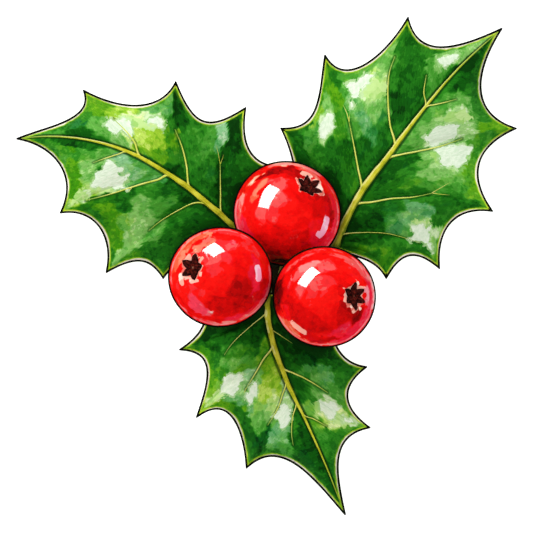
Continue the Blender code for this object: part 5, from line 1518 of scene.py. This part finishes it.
def make_pedicel(name, berry, finish):
    """A berry's stalk, with both ends sunk 0.45 mm into what they grow on."""
    sink = 0.45
    axis = np.array(Vector(berry.axis).normalized())
    foot = np.array(berry.centre) - axis * (berry.radius * OBLATE - sink)
    start, second = np.array(berry.stalk[0]), np.array(berry.stalk[1])
    root = start - (second - start) / np.linalg.norm(second - start) * sink
    route = Path([tuple(root), *berry.stalk, tuple(foot - axis * 1.6), tuple(foot)])
    share = np.linspace(0, 1, max(30, int(route.length / 0.15)))
    radii = np.interp(share * route.length,
                      [0, 0.5, 1.1, route.length - 1.2, route.length - 0.4, route.length],
                      [0.72, 0.60, 0.45, 0.44, 0.60, 0.66])
    stalk = Stem(route.at(share), radii, 20, 1.0,
                 lambda s, a: 1 + 0.05 * np.sin(a * 6 + s * 5) + 0.02 * np.sin(a * 11))
    shape = Shape()
    shape.add(stalk.points, stalk.faces, share=stalk.share, grain=stalk.grain(route.length))
    shape.piece("pedicel_" + name + "_stalk", "pedicel_" + name, finish)


# ---- twig --------------------------------------------
def bark_wrinkle(s, a):
    """Lengthwise ridges, and the scales of the end bud."""
    ridges = 0.030 * np.sin(a * 5 + s * 7) + 0.018 * np.sin(a * 11 - s * 12) + 0.010 * np.sin(a * 17 + 3)
    scales = 0.07 * np.sin(a * 2.5 + s * 60) * smooth((s - 0.80) / 0.08)
    return 1 + (ridges + scales) * (1 if s > 0.004 else 0.4)


def add_cut_end(shape, points, radius, sides):
    """Adds the cut end: a clean face with bark round pale wood and a greenish pith. heart is the
    share of the way out from the pith."""
    axis = points[0] - points[3]
    axis /= np.linalg.norm(axis)
    side = np.cross(axis, (0, 0, 1.0))
    side /= np.linalg.norm(side)
    up = np.cross(side, axis)
    angle = np.arange(sides) * 2 * np.pi / sides
    spokes = (np.outer(np.cos(angle), side) + np.outer(np.sin(angle), up)) * radius
    hearts = np.array([0.2, 0.3, 0.5, 0.7, 0.84, 0.90])
    flat = np.concatenate([spokes * heart for heart in hearts] + [np.zeros((2, 3))])
    # the outermost ring and the back lie inside the twig
    out = np.concatenate([np.repeat([0.05] * 5 + [-0.10], sides), [0.05, -0.10]])
    ends = points[0] + flat + np.outer(out, axis)
    middle, last = len(hearts) * sides, (len(hearts) - 1) * sides
    faces = (tube_faces(len(hearts), sides) + cap_faces(middle, 0, sides)
             + flipped(cap_faces(middle + 1, last, sides)))
    shape.add(ends, faces, cut=1.0, bud=0.0, shelter=in_the_gap(ends), local=flat,
              heart=np.concatenate([np.repeat(hearts, sides), [0.0, 1.0]]), grain=np.zeros((1, 3)))


# routes and radii of the buds in the axils of the lower and the left leaf
AXIL_BUDS = ((((1.05, 0.35, 1.25), (1.02, -1.7, 1.75), (1.0, -3.7, 2.0)), 0.80),
             (((-1.5, 0.9, 1.5), (-2.1, 1.75, 1.9), (-2.5, 2.6, 2.2)), 0.50))


def make_twig(finish):
    """The twig with its end bud, its cut end and its two small side buds."""
    sides = 40
    path = Path([p[:3] for p in TWIG])
    share = np.linspace(0, 1, 150)
    places = [0.0]
    for a, b in zip(TWIG, TWIG[1:]):
        places.append(places[-1] + math.dist(a[:3], b[:3]))
    radii = np.interp(share * places[-1], places, [p[3] for p in TWIG])
    radii[:2] *= (0.93, 0.985)
    points = path.at(share)
    twig = Stem(points, radii, sides, 1.0, bark_wrinkle)
    twig.points[:, 2] = np.maximum(twig.points[:, 2], 0.0)
    nowhere = np.zeros((1, 3))
    shape = Shape()
    shape.add(twig.points, twig.faces, cut=0.0, bud=smooth((twig.share - 0.80) / 0.06), heart=1.0,
              local=nowhere, shelter=in_the_gap(twig.points), grain=twig.grain(path.length))
    add_cut_end(shape, points, radii[2], sides)
    share = np.linspace(0, 1, 40)
    swell = np.interp(share, [0, 0.12, 0.45, 0.8, 0.94, 1], [0.6, 0.9, 1.0, 0.66, 0.30, 0.05])
    for route, size in AXIL_BUDS:
        bud = Stem(Path(route).at(share), swell * size, 28, 1.0,
                   lambda s, a: 1 + 0.06 * np.sin(a * 1.5 + s * 26))
        shape.add(bud.points, bud.faces, cut=0.0, bud=1.0, heart=1.0, local=nowhere,
                  shelter=in_the_gap(bud.points), grain=np.outer(bud.share * 3, (1, 0, 0)))
    shape.piece("twig_bark", "twig", finish)


# ---- table, light and camera -------------------------
def make_table():
    """The pale table top that the sprig lies on."""
    table = Finish("pale table")
    grain = table.cloud(table.millimetres(), 0.05, 3)
    base = table.mix(grain, colour(236, 236, 236), colour(242, 242, 242))
    table.done(base, 0.9 + (grain - 0.5) * 0.1, 0.1,
               **{"Emission Color": (1.0, 1.0, 1.0, 1.0), "Emission Strength": 0.8})
    bpy.ops.mesh.primitive_plane_add(size=6.0, location=(0, 0, -0.00002))
    floor = bpy.context.object
    floor.name = "table_top"
    floor.visible_glossy = False
    floor.data.materials.append(table.material)


# The reflection of a window on each berry as it is seen from above: x and y of its middle, the
# direction of one side in degrees, that side's length and the other side's, in radii
WINDOWS = {"top": (-0.345, 0.335, 61, 0.47, 0.22),
           "left": (-0.135, 0.55, -39, 0.27, 0.24),
           "right": (-0.29, 0.395, 49, 0.45, 0.21)}
WINDOW_DISTANCE = 60       # millimetres from the berry's middle
WINDOW_POWER = 36          # watts for each square metre


def mirrored(x, y):
    """The way out of a berry at a place seen from above, and where it mirrors the view to."""
    out = Vector((x, y, math.sqrt(1 - x * x - y * y)))
    return out, 2 * out.z * out - Vector((0, 0, 1))


def window_for(radius, x, y, turn, length, width):
    """Direction, size in metres and tilt in degrees of the window that is seen in a berry."""
    towards = mirrored(x, y)[1]

    def across(degrees, size):
        """From one side of the window to the other, which are seen size radii apart."""
        step = bearing(degrees) * size / 2
        ends = []
        for sign in (-1, 1):
            out, away = mirrored(x + sign * step[0], y + sign * step[1])
            reach = (WINDOW_DISTANCE - out.dot(towards) * radius) / away.dot(towards)
            ends.append(out * radius + away * reach)
        return ends[1] - ends[0]

    long, wide = across(turn, length), across(turn + 90, width)
    facing = towards.to_track_quat("Z", "Y")
    sideways, upwards = facing @ Vector((1, 0, 0)), facing @ Vector((0, 1, 0))
    tilt = math.degrees(math.atan2(long.dot(upwards), long.dot(sideways)))
    return towards, long.length * MM, wide.length * MM, tilt


def add_light(name, towards, distance, width, height, power, glossy=True, near=(0, 0, 0), roll=0):
    """A soft box in the direction towards, facing the point near. Metres, watts and degrees."""
    data = bpy.data.lights.new(name, "AREA")
    data.shape = "RECTANGLE"
    data.size, data.size_y, data.energy = width, height, power
    light = bpy.data.objects.new(name, data)
    bpy.context.scene.collection.objects.link(light)
    direction = Vector(towards).normalized()
    light.location = Vector(near) * MM + direction * distance
    spin = Quaternion((0.0, 0.0, 1.0), math.radians(roll))
    light.rotation_euler = (direction.to_track_quat("Z", "Y") @ spin).to_euler()
    light.visible_glossy = glossy
    return light


def light_scene():
    """White light all round, two soft boxes without reflections and a window for each berry."""
    world = bpy.data.worlds.new("studio")
    world.use_nodes = True
    world.node_tree.nodes["Background"].inputs["Color"].default_value = (1.0, 1.0, 1.0, 1.0)
    world.node_tree.nodes["Background"].inputs["Strength"].default_value = 0.50
    world.cycles_visibility.glossy = False
    bpy.context.scene.world = world
    add_light("key", (-0.46, 0.60, 0.75), 0.9, 0.5, 0.5, 4.2, glossy=False)
    add_light("overhead", (0.0, 0.05, 1.0), 1.6, 1.8, 1.8, 11.4, glossy=False)
    for name, patch in WINDOWS.items():
        towards, width, height, tilt = window_for(BERRIES[name].radius, *patch)
        window = add_light("window_" + name, towards, WINDOW_DISTANCE * MM, width, height,
                           width * height * WINDOW_POWER, near=BERRIES[name].centre, roll=tilt)
        window.visible_diffuse = window.visible_camera = False
        lit = bpy.data.collections.new("lit by window_" + name)
        lit.objects.link(bpy.data.objects["berry_" + name + "_skin"])
        window.light_linking.receiver_collection = lit


def make_camera():
    """Looks straight down from far above, so that the view has almost no perspective."""
    data = bpy.data.cameras.new("camera")
    data.lens = 600
    data.sensor_width = 36
    data.clip_start, data.clip_end = 0.01, 20
    camera = bpy.data.objects.new("camera", data)
    bpy.context.scene.collection.objects.link(camera)
    camera.location = (0, 0, 1.067)
    camera.rotation_euler = (0, 0, 0)
    bpy.context.scene.camera = camera


make_camera()
blade_look, rib_look, rim_look = leaf_finish(), rib_finish(), rim_finish("leaf rim")
for leaf_name, one_leaf in LEAVES.items():
    leaf_blade, leaf_top = make_blade(leaf_name, one_leaf, blade_look)
    make_ribs(leaf_name, one_leaf, leaf_blade, leaf_top, rib_look)
    make_rim(leaf_name, leaf_blade, leaf_top, rim_look)
skin_look, seam_look = berry_finish(), rim_finish("berry seam")
star_look, stalk_look = calyx_finish(), stalk_finish()
for berry_name, one_berry in BERRIES.items():
    berry_skin = make_berry(berry_name, one_berry, skin_look)
    make_seam(berry_name, one_berry, berry_skin, seam_look)
    make_calyx(berry_name, one_berry, star_look)
    make_pedicel(berry_name, one_berry, stalk_look)
make_twig(twig_finish())
make_table()
light_scene()
bpy.context.scene.view_settings.view_transform = "Standard"
